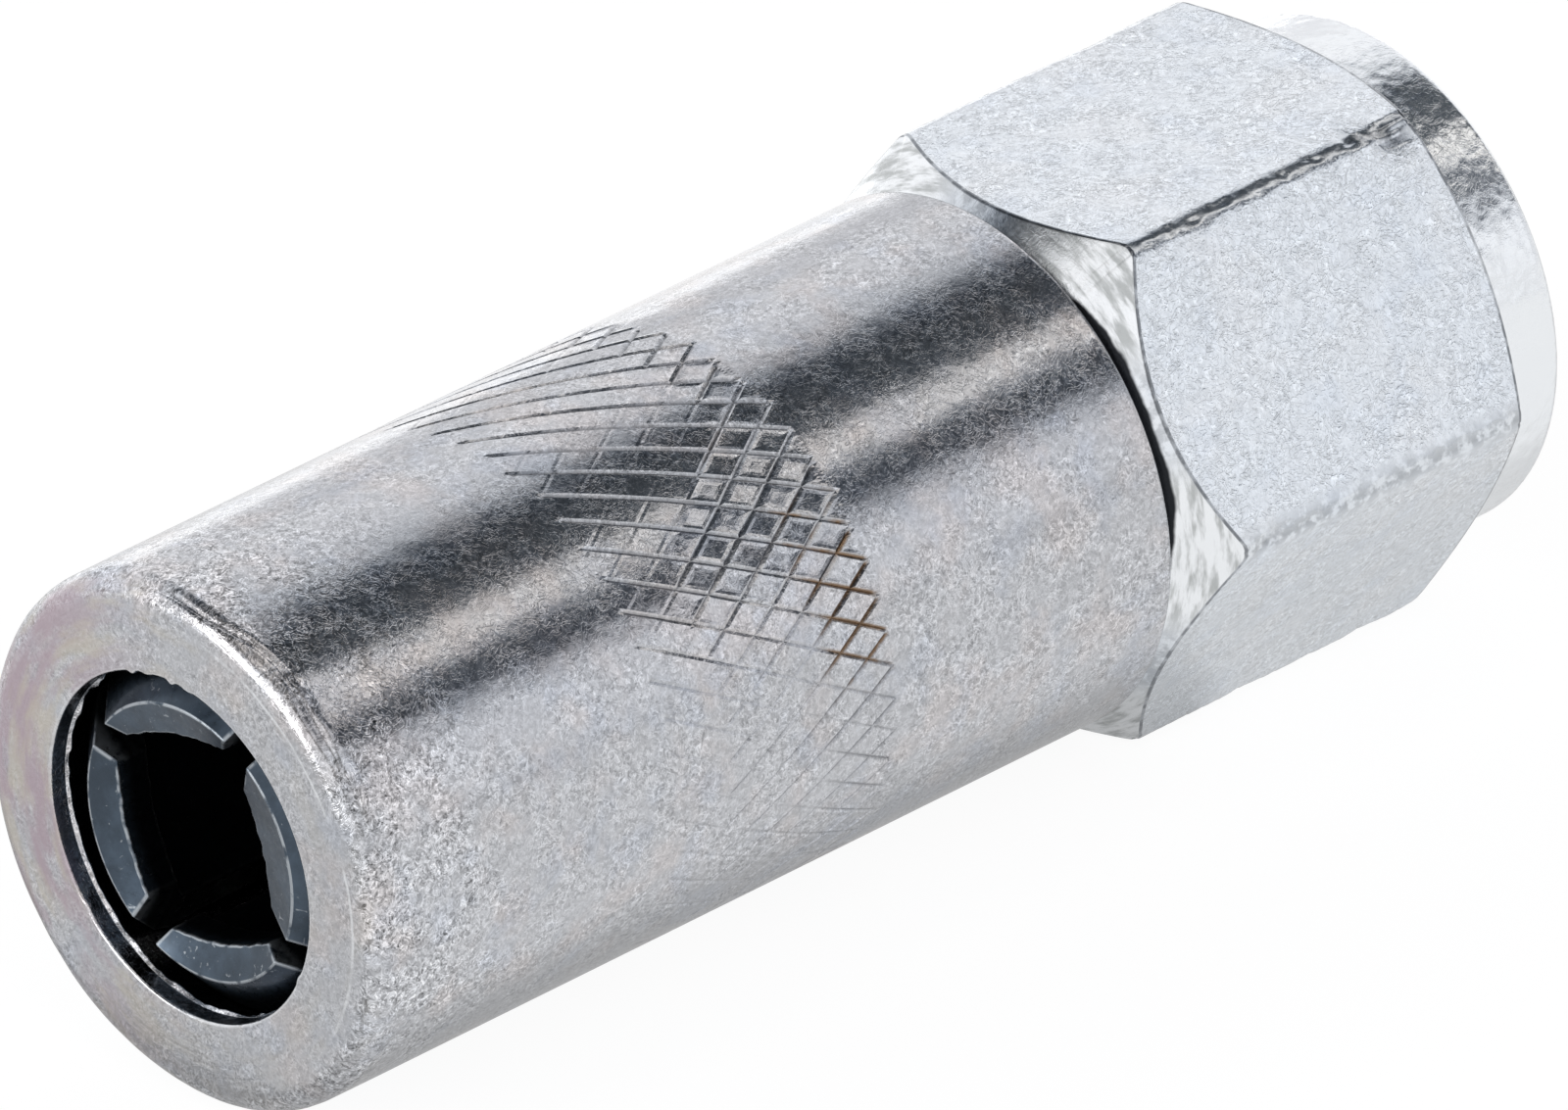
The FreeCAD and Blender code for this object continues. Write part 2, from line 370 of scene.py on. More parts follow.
@dataclass(frozen=True)
class ZincPlate(Finish):
    """Zinc plate on turned or drawn steel, with a fine etched grain.

    Attributes:
        warm: Colour of its faintly yellow and pink patches.
        cool: Colour of its bluish patches.
        grain: Grain features per metre.
        curl: Features per metre of the grain's relief.
        grain_contrast: How far the grain lightens and darkens the colour.
        grain_depth: Relief of the grain in millimetres.
        pit_depth: Relief of the small pits in millimetres.
        wave_depth: Relief of the shallow waves in millimetres.
        edge: Colour along the edges.
        edge_share: How fully the edges take it.
        lively_nose: Stretch of x where the strokes grow, and their strength at its ends.
    """

    warm: Colour
    cool: Colour
    grain: float
    curl: float
    grain_contrast: float
    grain_depth: float
    pit_depth: float
    wave_depth: float
    # edge: Colour painted along the edges: a painted highlight on the sleeve, a painted dark reflection on
    # the hexagon. edge_share: How fully the edges take it.
    edge: Colour
    edge_share: float
    lively_nose: tuple[float, float, float, float] = (-0.037, -0.0410, 1.0, 1.9)

    def dress(self, graph: Graph, place: Field) -> Inputs:
        """Make patches, curled grain and the painted edge light and shade.

        Args:
            graph: The material's tree.
            place: Object coordinates.

        Returns:
            Values for the shader's inputs.
        """
        calm = self.calm(graph, place)
        colour = graph.tint(graph.patches(place, 420, 0.46, 0.66) * 0.55, self.colour, self.warm)
        colour = graph.tint(graph.patches(place, 560, 0.5, 0.68) * 0.45, colour, self.cool)
        lively = graph.ramp(graph.noise(place, 900, 2.0), 0.36, 0.58, 0.5, 1.0) * calm
        lively = lively * graph.ramp(graph.split(place)[0], *self.lively_nose)
        strokes = self.strokes(graph, place, 0.48, 2.4, 0.5, 0.055) * lively
        gaps = self.strokes(graph, place, 0.52, 2.0, 0.46, 0.045) * lively
        grain = graph.noise(place, self.grain, 2.0, 0.5, 1.0)
        spread = graph.ramp(grain, 0.32, 0.68, -self.grain_contrast, self.grain_contrast) * lively
        spread = spread + strokes * (self.grain_contrast * 1.8) - gaps * (self.grain_contrast * 1.1)
        colour = graph.tint(1.0, colour, graph.grey(spread + 1.0), "MULTIPLY")
        # Painted edge light and shade: the edge colour laid along the edge weight, a highlight on the
        # sleeve and a dark reflection on the hexagon.
        wear_and_edge_light = graph.weight("edge")
        ragged = graph.patches(place, 2600, 0.38, 0.56)
        line = wear_and_edge_light * ragged + graph.ramp(wear_and_edge_light, 0.7, 1.0) * (1.0 - ragged) * 0.55
        colour = graph.tint(line * self.edge_share, colour, self.edge)
        waves = graph.bump(graph.noise(place, 1000, 1.0), self.wave_depth)
        curls = graph.noise(place, self.curl, 1.0, 0.5, 1.6) * calm + (strokes - gaps) * 0.3
        relief = graph.bump(curls, self.grain_depth, waves)
        pits = graph.ramp(graph.cells(place, self.grain * 0.3), 0.05, 0.3)
        relief = graph.bump(pits * calm, self.pit_depth, relief)
        rough = graph.ramp(grain, 0.3, 0.7, self.roughness - 0.03, self.roughness + 0.05)
        colour, relief = self.marks(graph, place, colour), self.lay(graph, place, relief)
        return {"Metallic": 1.0, "Base Color": colour, "Roughness": rough, "Normal": relief}

    def strokes(self, graph: Graph, place: Field, share: float, curl: float, level: float,
                width: float) -> Field:
        """Thin curled strokes of the etched grain.

        Args:
            graph: The material's tree.
            place: Object coordinates.
            share: Their density against the grain's.
            curl: How far they are curled.
            level: Noise value that they run along.
            width: Their width in noise value.

        Returns:
            The strokes, 1 along their middle.
        """
        away = abs(graph.noise(place, self.grain * share, 1.0, 0.5, curl) - level)
        return graph.ramp(away, 0.006, width, 1.0, 0.0)

    def calm(self, graph: Graph, place: Field) -> Field:
        """Share of the grain that shows; all of it on the plain plate."""
        return graph.math("ADD", 1.0, 0.0)

    def marks(self, graph: Graph, place: Field, colour: Field) -> Field:
        """Colour with this piece's own stains; none on the plain plate."""
        return colour

    def lay(self, graph: Graph, place: Field, relief: Field) -> Field:
        """Relief with this piece's own tool marks; none on the plain plate."""
        return relief


@dataclass(frozen=True)
class SleevePlate(ZincPlate):
    """The sleeve's plate: darker knurl grooves, rust near its rear end, a stained nose face and a painted
    highlight line round the nose face.

    A pair of places is where a mark begins and where it is full, in metres: along x,
    sideways by y, in height by z, or away from the axis.
    """

    groove_tone: Colour = (0.11, 0.115, 0.125)
    rust: Colour = (0.21, 0.125, 0.06)
    nose_stain: Colour = (0.42, 0.34, 0.38)
    straw: Colour = (0.53, 0.49, 0.41)
    rust_along: Stretch = (-0.0272, -0.0258)
    rust_top: Stretch = (0.0060, 0.0050)
    rust_foot: Stretch = (0.0002, 0.0016)
    rust_side: Stretch = (-0.003, -0.0045)
    grain_along: Stretch = (-0.042597, -0.04254)
    stain_along: Stretch = (-0.0420, -0.0425)
    stain_side: Stretch = (0.0, 0.0055)
    straw_side: Stretch = (-0.002, 0.004)
    rings_along: Stretch = (-0.0422, -0.04255)
    border_radius: float = 0.0066
    border_wander: float = 0.00012
    border_edge: Stretch = (0.00007, 0.00002)
    border_along: Stretch = (-0.0425, -0.04256)
    border_side: Stretch = (0.001, -0.003)
    border_foot: Stretch = (-0.0048, -0.0018)

    def calm(self, graph: Graph, place: Field) -> Field:
        """Little grain on the turned nose face."""
        return graph.ramp(graph.split(place)[0], *self.grain_along, 0.45, 1.0)

    def marks(self, graph: Graph, place: Field, colour: Field) -> Field:
        """Colour with darker knurl grooves, rust, the stains of the nose face and its painted highlight
        line.

        Args:
            graph: The material's tree.
            place: Object coordinates.
            colour: Colour of the bare plate.

        Returns:
            The colour.
        """
        x, y, z = graph.split(place)
        groove = graph.weight("groove")
        high = graph.ramp(z, *self.rust_top) * graph.ramp(z, *self.rust_foot)
        patchy = graph.patches(place, 900, 0.36, 0.56)
        rusty = groove * graph.ramp(x, *self.rust_along) * high * patchy * graph.ramp(y, *self.rust_side)
        # Darker in the knurl's grooves.
        colour = graph.tint(graph.ramp(groove, 0.1, 0.7) * 0.5, colour, self.groove_tone)
        colour = graph.tint(graph.math("MINIMUM", rusty * 1.6, 0.85), colour, self.rust)
        face = graph.ramp(x, *self.stain_along)
        smears = graph.join(graph.radius(y, z) * 3.0, y, z)
        pink = graph.ramp(y, *self.stain_side) * graph.patches(smears, 330, 0.36, 0.6, 4.0)
        colour = graph.tint(pink * face * 0.9, colour, self.nose_stain)
        straw = graph.patches(smears, 380, 0.46, 0.66) * face
        colour = graph.tint(straw * graph.ramp(y, *self.straw_side, 0.15, 0.6), colour, self.straw)
        # Painted highlight: the bright line round the nose face's rim, in the edge colour.
        return graph.tint(self.border(graph, place) * patchy * 0.6, colour, self.edge)

    def border(self, graph: Graph, place: Field) -> Field:
        """Painted highlight: a thin bright line where the nose face goes over into its rounding.

        Args:
            graph: The material's tree.
            place: Object coordinates.

        Returns:
            The line, 1 where it is full.
        """
        x, y, z = graph.split(place)
        radius = graph.radius(y, z) + graph.noise(place, 700, 2.0) * self.border_wander
        line = graph.ramp(abs(radius - self.border_radius), *self.border_edge)
        line = line * graph.ramp(x, *self.border_along)
        return line * graph.ramp(y, *self.border_side) * graph.ramp(z, *self.border_foot)

    def lay(self, graph: Graph, place: Field, relief: Field) -> Field:
        """Relief with the turning marks of the nose face.

        Args:
            graph: The material's tree.
            place: Object coordinates.
            relief: The plate's own relief.

        Returns:
            The normal.
        """
        x, y, z = graph.split(place)
        rings = graph.noise(graph.join(graph.radius(y, z), y * 0.09, z * 0.09), 6500, 3.0, 0.65)
        return graph.bump(rings * graph.ramp(x, *self.rings_along), 0.02, relief)


@dataclass(frozen=True)
class HexagonPlate(ZincPlate):
    """The hexagon's plate, with painted shade where the front chamfer goes under the sleeve's rim.

    A pair of places is where a mark begins and where it is full, in metres: along x, or
    away from the axis.
    """

    painted_gap_shade: Colour = (0.02, 0.022, 0.025)
    mirror: Colour = (0.82, 0.84, 0.86)
    streak: Colour = (0.2, 0.215, 0.205)
    thread: Colour = (0.22, 0.22, 0.215)
    collar_along: Stretch = (-0.0024, -0.0019)
    painted_gap_shade_along: Stretch = (-0.0134, -0.0138)
    painted_gap_shade_radius: Stretch = (0.00724, 0.00716)
    painted_gap_shade_towards: Stretch = (-0.866, 0.5)
    bore_along: Stretch = (-0.0002, -0.001)
    bore_radius: Stretch = (0.0052, 0.0046)

    def calm(self, graph: Graph, place: Field) -> Field:
        """Little grain on the turned chamfer and collar."""
        plain = (1.0 - graph.weight("cone") * 0.85) * graph.ramp(graph.weight("edge"), 0.0, 0.3, 1.0, 0.15)
        return plain * graph.ramp(graph.split(place)[0], *self.collar_along, 1.0, 0.4)

    def lay(self, graph: Graph, place: Field, relief: Field) -> Field:
        """Relief with the dents of the collar."""
        collar = graph.ramp(graph.split(place)[0], *self.collar_along)
        return graph.bump(graph.noise(place, 900, 2.0, 0.6) * collar, 0.1, relief)

    def marks(self, graph: Graph, place: Field, colour: Field) -> Field:
        """Colour with painted shade beside the rim, and darker in the inlet's thread.

        Args:
            graph: The material's tree.
            place: Object coordinates.
            colour: Colour of the bare plate.

        Returns:
            The colour.
        """
        x, y, z = graph.split(place)
        radius = graph.radius(y, z)
        # Painted shade in the gap where the front chamfer goes under the sleeve's rim.
        towards = (y * self.painted_gap_shade_towards[0] + z * self.painted_gap_shade_towards[1]) / radius
        side = graph.ramp(towards, 0.80, 0.95)
        reach = radius + graph.noise(place, 900, 3.0) * 0.00024 - side * 0.00018
        rim = graph.ramp(x, *self.painted_gap_shade_along) * graph.ramp(reach, *self.painted_gap_shade_radius)
        # Darker in the inlet's thread near the rear face.
        bore = graph.ramp(radius, *self.bore_radius) * graph.ramp(x, *self.bore_along)
        colour = graph.tint(graph.ramp(x, *self.collar_along) * 0.9, colour, self.mirror)
        colour = graph.tint(bore * 0.6, colour, self.thread)
        cone = graph.weight("cone")
        colour = graph.tint(cone, colour, self.mirror)
        streaks = graph.patches(graph.join(radius, y * 0.16, z * 0.16), 5200, 0.42, 0.66) * cone
        colour = graph.tint(streaks * 0.6, colour, self.streak)
        return graph.tint(rim, colour, self.painted_gap_shade)


@dataclass(frozen=True)
class TurnedSteel(Finish):
    """Bright machined steel with the fine lay of the lathe tool.

    Attributes:
        lay_depth: Relief of the lathe lines in millimetres.
        oil: Share of each part of the colour that an oil film lets through.
    """

    lay_depth: float = 0.004
    oil: Colour = (0.7632, 0.72, 0.6624)

    def dress(self, graph: Graph, place: Field) -> Inputs:
        """Make lathe lines and an oil film's tint.

        Args:
            graph: The material's tree.
            place: Object coordinates.

        Returns:
            Values for the shader's inputs.
        """
        x, y, z = graph.split(place)
        radius = graph.radius(y, z)
        lines = graph.noise(graph.join(x + radius, radius * 0.5, y * 0.02), 9000, 3.0, 0.6)
        film = graph.patches(place, 300, 0.4, 0.65, rough=0.5)
        oiled = tuple(part * share for part, share in zip(self.colour, self.oil))
        colour = graph.tint(film, self.colour, oiled)
        shade = graph.ramp(lines, 0.3, 0.7, 0.88, 1.08)
        colour = graph.tint(1.0, colour, graph.grey(shade), "MULTIPLY")
        rough = graph.ramp(lines, 0.3, 0.7, self.roughness - 0.04, self.roughness + 0.06)
        relief = graph.bump(lines, self.lay_depth)
        return {"Metallic": 1.0, "Base Color": colour, "Roughness": rough, "Normal": relief}


@dataclass(frozen=True)
class OxideSteel(Finish):
    """Hardened steel with a dark oxide, its edges painted bright as rubbed oxide and edge highlight, and
    painted shade behind its front faces.
    """

    bright: Colour = (0.34, 0.37, 0.4)
    painted_inner_shade: Colour = (0.004, 0.005, 0.006)
    painted_inner_shade_along: Stretch = (-0.04195, -0.0414)

    def dress(self, graph: Graph, place: Field) -> Inputs:
        """Make oxide patches, a thin coat in front, the bright edges with their painted highlight, and
        painted shade deep in the mouth.

        Args:
            graph: The material's tree.
            place: Object coordinates.

        Returns:
            Values for the shader's inputs.
        """
        pale = tuple(part * 1.7 for part in self.colour)
        colour = graph.tint(graph.patches(place, 900, 0.35, 0.68, 4.0) * 0.8, self.colour, pale)
        broken = graph.patches(place, 2600, 0.32, 0.55, rough=0.5)
        # Edges painted bright: rubbed oxide, and a painted edge highlight.
        colour = graph.tint(graph.weight("edge") * broken, colour, self.bright)
        specks = graph.ramp(graph.noise(place, 4200, 2.0, 0.6, 0.8), 0.66, 0.72)
        colour = graph.tint(specks * 0.7, colour, self.bright)
        # Painted shade: darker deep in the mouth, behind the jaws' front faces; the coat fades out there
        # too.
        deep = graph.ramp(graph.split(place)[0], *self.painted_inner_shade_along)
        colour = graph.tint(deep * 0.93, colour, self.painted_inner_shade)
        fine = graph.noise(place, 5200, 3.0, 0.6)
        rough = graph.ramp(fine, 0.3, 0.7, self.roughness - 0.06, self.roughness + 0.1)
        return {
            "Metallic": 0.9,
            "Base Color": colour,
            "Roughness": rough,
            "Normal": graph.bump(fine, 0.004),
            "Coat Weight": deep * -0.25 + 0.25,
            "Coat Roughness": 0.15,
        }


@dataclass(frozen=True)
class PolishedSteel(Finish):
    """Lapped bearing steel with a few faint marks."""

    def dress(self, graph: Graph, place: Field) -> Inputs:
        """Make faint marks on a polished surface.

        Args:
            graph: The material's tree.
            place: Object coordinates.

        Returns:
            Values for the shader's inputs.
        """
        marks = graph.patches(place, 1800, 0.56, 0.7, 5.0, 0.7)
        dull = tuple(part * 0.82 for part in self.colour)
        return {
            "Metallic": 1.0,
            "Base Color": graph.tint(marks, self.colour, dull),
            "Roughness": marks * 0.12 + self.roughness,
            "Normal": graph.bump(marks, 0.0008),
        }


@dataclass(frozen=True)
class DrawnWire(Finish):
    """Drawn spring wire with a dark heat tint and lines along the wire."""

    tinted: Colour = (0.23, 0.18, 0.13)

    def dress(self, graph: Graph, place: Field) -> Inputs:
        """Make drawing lines and heat tint.

        Args:
            graph: The material's tree.
            place: Object coordinates.

        Returns:
            Values for the shader's inputs.
        """
        x, y, z = graph.split(place)
        lines = graph.noise(graph.join(graph.radius(y, z) * 1.4, x * 0.7, y * 0.05), 12000, 3.0, 0.6)
        colour = graph.tint(graph.patches(place, 420, 0.38, 0.66, rough=0.5), self.colour, self.tinted)
        shade = graph.ramp(lines, 0.3, 0.7, 0.82, 1.12)
        return {
            "Metallic": 1.0,
            "Base Color": graph.tint(1.0, colour, graph.grey(shade), "MULTIPLY"),
            "Roughness": lines * 0.16 + (self.roughness - 0.08),
            "Normal": graph.bump(lines, 0.004),
        }


@dataclass(frozen=True)
class Moulded(Finish):
    """Moulded rubber or plastic with a fine skin.

    Attributes:
        skin: Features per metre of the skin.
        skin_depth: Its relief in millimetres.
    """

    skin: float
    skin_depth: float

    def dress(self, graph: Graph, place: Field) -> Inputs:
        """Make the skin and a slight bloom.

        Args:
            graph: The material's tree.
            place: Object coordinates.

        Returns:
            Values for the shader's inputs.
        """
        bloom = graph.patches(place, 600, 0.4, 0.72, 4.0)
        pale = tuple(part * 0.88 + 0.03 for part in self.colour)
        colour = graph.tint(bloom, self.colour, pale)
        skin = graph.noise(place, self.skin, 3.0, 0.55)
        rough = graph.ramp(skin, 0.3, 0.7, self.roughness - 0.06, self.roughness + 0.08)
        relief = graph.bump(skin, self.skin_depth)
        return {"Base Color": colour, "Roughness": rough, "Normal": relief}


SLEEVE_PLATE = SleevePlate(
    name="zinc_plate_satin",
    colour=(0.475, 0.483, 0.505),
    roughness=0.13,
    warm=(0.52, 0.485, 0.48),
    cool=(0.43, 0.46, 0.52),
    grain=5800.0,
    curl=2400.0,
    grain_contrast=0.23,
    grain_depth=0.0042,
    pit_depth=0.001,
    wave_depth=0.018,
    # Edge colour: a painted highlight along the mouth's and lip's edges and the nose face's rim line.
    edge=(0.86, 0.88, 0.9),
    edge_share=0.45,
)
HEXAGON_PLATE = HexagonPlate(
    name="zinc_plate_bright",
    colour=(0.70, 0.735, 0.775),
    roughness=0.18,
    warm=(0.72, 0.74, 0.765),
    cool=(0.65, 0.70, 0.77),
    grain=4800.0,
    curl=4200.0,
    grain_contrast=0.12,
    grain_depth=0.014,
    pit_depth=0.006,
    wave_depth=0.008,
    # Edge colour: a painted dark reflection along the corners, the chamfer arcs and the knocks.
    edge=(0.13, 0.14, 0.155),
    edge_share=0.85,
)
JAW_STEEL = OxideSteel(name="jaw_oxide_steel", colour=(0.04, 0.056, 0.076), roughness=0.32)
MACHINED_STEEL = TurnedSteel(name="turned_steel", colour=(0.56, 0.56, 0.55), roughness=0.24)
BALL_STEEL = PolishedSteel(name="lapped_ball_steel", colour=(0.74, 0.745, 0.76), roughness=0.06)
WIRE_STEEL = DrawnWire(name="drawn_spring_wire", colour=(0.36, 0.36, 0.37), roughness=0.34)
RUBBER = Moulded("seal_rubber_black", (0.018, 0.018, 0.019), 0.5, 5200.0, 0.006)
PLASTIC = Moulded("backup_plastic_white", (0.78, 0.77, 0.74), 0.42, 3800.0, 0.004)


@dataclass(frozen=True)
class Corner:
    """A corner of an outline in the plane through the axis.

    Attributes:
        station: Millimetres from the rear face.
        radius: Millimetres from the axis.
        easing: Rounding radius, 0 for a plain point.
        steps: Faces across the rounding.
    """

    station: float
    radius: float
    easing: float = 0.0
    steps: int = 3


def eased(corners: Sequence[Corner], closed: bool = True) -> np.ndarray:
    """Round an outline's corners, with a support point beside each rounding.

    Args:
        corners: The outline, in order.
        closed: Whether the last corner joins the first.

    Returns:
        Rows of station, radius and an edge weight that is 1 on a rounding.
    """
    rows = []
    count = len(corners)
    for index, corner in enumerate(corners):
        here = np.array((corner.station, corner.radius))
        ends = not closed and index in (0, count - 1)
        if corner.easing <= 0 or ends:
            rows.append((*here, 0.0))
            continue
        back = np.array((corners[index - 1].station, corners[index - 1].radius)) - here
        after = corners[(index + 1) % count]
        ahead = np.array((after.station, after.radius)) - here
        spans = np.linalg.norm(back), np.linalg.norm(ahead)
        back, ahead = back / spans[0], ahead / spans[1]
        half = math.acos(max(-1.0, min(1.0, float(back @ ahead)))) / 2
        reach = min(corner.easing / math.tan(half), SIDE_SHARE * min(spans))
        radius = reach * math.tan(half)
        middle = here + (back + ahead) / np.linalg.norm(back + ahead) * radius / math.sin(half)
        first, last = here + back * reach - middle, here + ahead * reach - middle
        sweep = math.pi - 2 * half
        support = min(SUPPORT, SUPPORT_SHARE * reach)
        rows.append((*(middle + first + back * support), 0.0))
        for step in range(corner.steps + 1):
            share = step / corner.steps
            parts = math.sin((1 - share) * sweep), math.sin(share * sweep)
            turned = (parts[0] * first + parts[1] * last) / math.sin(sweep)
            rows.append((*(middle + turned), float(corner.easing < PAINTED_EDGE_EASING)))
        rows.append((*(middle + last + ahead * support), 0.0))
    return np.array(rows)


def rows_between(first: float, last: float, radius: float, count: int) -> list[Corner]:
    """Plain rows along a cylinder.

    Args:
        first: First station.
        last: Last station.
        radius: Radius of the cylinder.
        count: Number of rows.

    Returns:
        The rows as corners without rounding.
    """
    return [Corner(float(station), radius) for station in np.linspace(first, last, count)]


def linked(name: str, data: bpy.types.ID) -> bpy.types.Object:
    """Make an object of the scene.

    Args:
        name: Its name.
        data: What it holds.

    Returns:
        The object.
    """
    made = bpy.data.objects.new(name, data)
    bpy.context.scene.collection.objects.link(made)
    return made


def even_angles(count: int) -> np.ndarray:
    """Evenly spaced angles round the axis."""
    return np.arange(count) * TURN / count


def degrees_from(angles: np.ndarray, middle: float) -> np.ndarray:
    """Degrees from a middle, itself in degrees, to each angle in radians."""
    return (np.degrees(angles) - middle + 180) % 360 - 180


def round_noise(angles: np.ndarray, scale: float, level: float) -> np.ndarray:
    """Smooth uneven values round the axis, from -1 to 1.

    Args:
        angles: Angles that they are read at.
        scale: Features in a radian.
        level: Place on the noise's third axis.

    Returns:
        A value for each angle.
    """
    places = [Vector((math.cos(a) * scale, math.sin(a) * scale, level)) for a in angles]
    return np.array([noise.noise(place) for place in places])


class Shell:
    """A closed mesh put together from rings of points about the axis."""

    def __init__(self) -> None:
        """Start with no points."""
        self.points: Rings = []
        self.faces: list[tuple[int, ...]] = []
        self.weights: dict[str, Rings] = {}
        self.flat: set[int] = set()
        self.total = 0

    def ring(self, station: np.ndarray | float, radius: np.ndarray | float, angles: np.ndarray,
             **weights: np.ndarray | float) -> np.ndarray:
        """Add one ring of points.

        Args:
            station: Station of the ring, or one for each point.
            radius: Radius of the ring, or one for each point.
            angles: Angle of each point, in radians.
            **weights: Named values that the points carry.

        Returns:
            The points' numbers.
        """
        station = np.broadcast_to(station, angles.shape)
        radius = np.broadcast_to(radius, angles.shape)
        place = np.stack((-station, radius * np.cos(angles), radius * np.sin(angles)), axis=1)
        self.points.append(place * MM)
        for name in set(self.weights) | set(weights):
            known = self.weights.setdefault(name, [np.zeros(self.total)])
            known.append(np.array(np.broadcast_to(weights.get(name, 0.0), angles.shape), float))
        numbers = np.arange(self.total, self.total + len(angles))
        self.total += len(angles)
        return numbers

    def strip(self, first: np.ndarray, second: np.ndarray) -> None:
        """Join two rings with quads.

        Args:
            first: One ring.
            second: The other, with as many points.
        """
        for index in range(len(first)):
            after = (index + 1) % len(first)
            self.faces.append((first[index], first[after], second[after], second[index]))

    def skin(self, rings: Rings, looped: bool) -> None:
        """Join each ring to the next.

        Args:
            rings: The rings, in order.
            looped: Whether the last is joined to the first.
        """
        following = [*rings[1:], rings[0]] if looped else rings[1:]
        for first, second in zip(rings, following):
            self.strip(first, second)

    def crossed(self, first: np.ndarray, second: np.ndarray, middle: np.ndarray) -> None:
        """Join two rings with four triangles in each cell.

        Args:
            first: One ring.
            second: The other, with as many points.
            middle: The cells' middle points.
        """
        for index in range(len(first)):
            after = (index + 1) % len(first)
            corners = (first[index], first[after], second[after], second[index])
            for side in range(4):
                self.flat.add(len(self.faces))
                self.faces.append((corners[side], corners[(side + 1) % 4], middle[index]))

    def stitch(self, many: np.ndarray, few: np.ndarray) -> None:
        """Join a ring to one with fewer points.

        Args:
            many: The ring with more points.
            few: The other, with a whole fraction of them.
        """
        share = len(many) // len(few)
        for index in range(len(few)):
            after = (index + 1) % len(few)
            middle = share // 2
            start = index * share
            for step in range(share):
                here, there = many[start + step], many[(start + step + 1) % len(many)]
                self.faces.append((here, there, few[index] if step < middle else few[after]))
            self.faces.append((few[index], many[start + middle], few[after]))

    def object(self, name: str, finish: Finish) -> bpy.types.Object:
        """Make the object, with its faces turned outwards.

        Args:
            name: Name of the piece.
            finish: Its finish.

        Returns:
            The linked object.
        """
        points = np.concatenate(self.points)
        mesh = bpy.data.meshes.new(name)
        mesh.from_pydata(points.tolist(), [], [tuple(int(n) for n in face) for face in self.faces])
        smooth = np.ones(len(self.faces), bool)
        smooth[list(self.flat)] = False
        mesh.polygons.foreach_set("use_smooth", smooth)
        for label, rings in self.weights.items():
            layer = mesh.attributes.new(label, "FLOAT", "POINT")
            layer.data.foreach_set("value", np.concatenate(rings).astype(np.float32))
        mesh.update()
        mesh.calc_loop_triangles()
        corners = np.zeros(len(mesh.loop_triangles) * 3, np.int32)
        mesh.loop_triangles.foreach_get("vertices", corners)
        a, b, c = points[corners.reshape(-1, 3)].transpose(1, 0, 2)
        if np.einsum("ij,ij->i", a, np.cross(b, c)).sum() < 0:
            mesh.flip_normals()
        mesh.validate()
        mesh.materials.append(finish.material())
        return linked(name, mesh)


def turned_object(name: str, corners: Sequence[Corner], columns: int,
                  finish: Finish) -> bpy.types.Object:
    """Ring-shaped piece turned from a closed outline.

    Args:
        name: Name of the piece.
        corners: Its outline.
        columns: Points round the axis.
        finish: Its finish.

    Returns:
        The object.
    """
    shell = Shell()
    angles = even_angles(columns)
    rings = [shell.ring(station, radius, angles, edge=edge) for station, radius, edge in eased(corners)]
    shell.skin(rings, looped=True)
    return shell.object(name, finish)


def ring_outline(along: Stretch, inner: float, outer: float, easing: float, steps: int) -> list[Corner]:
    """Outline of a ring of rectangular section with rounded edges.

    Args:
        along: Its rear and front stations.
        inner: Inner radius.
        outer: Outer radius.
        easing: Rounding of its edges.
        steps: Faces across a rounding.

    Returns:
        The outline.
    """
    rear, front = along
    places = ((rear, inner), (rear, outer), (front, outer), (front, inner))
    return [Corner(station, radius, easing, steps) for station, radius in places]


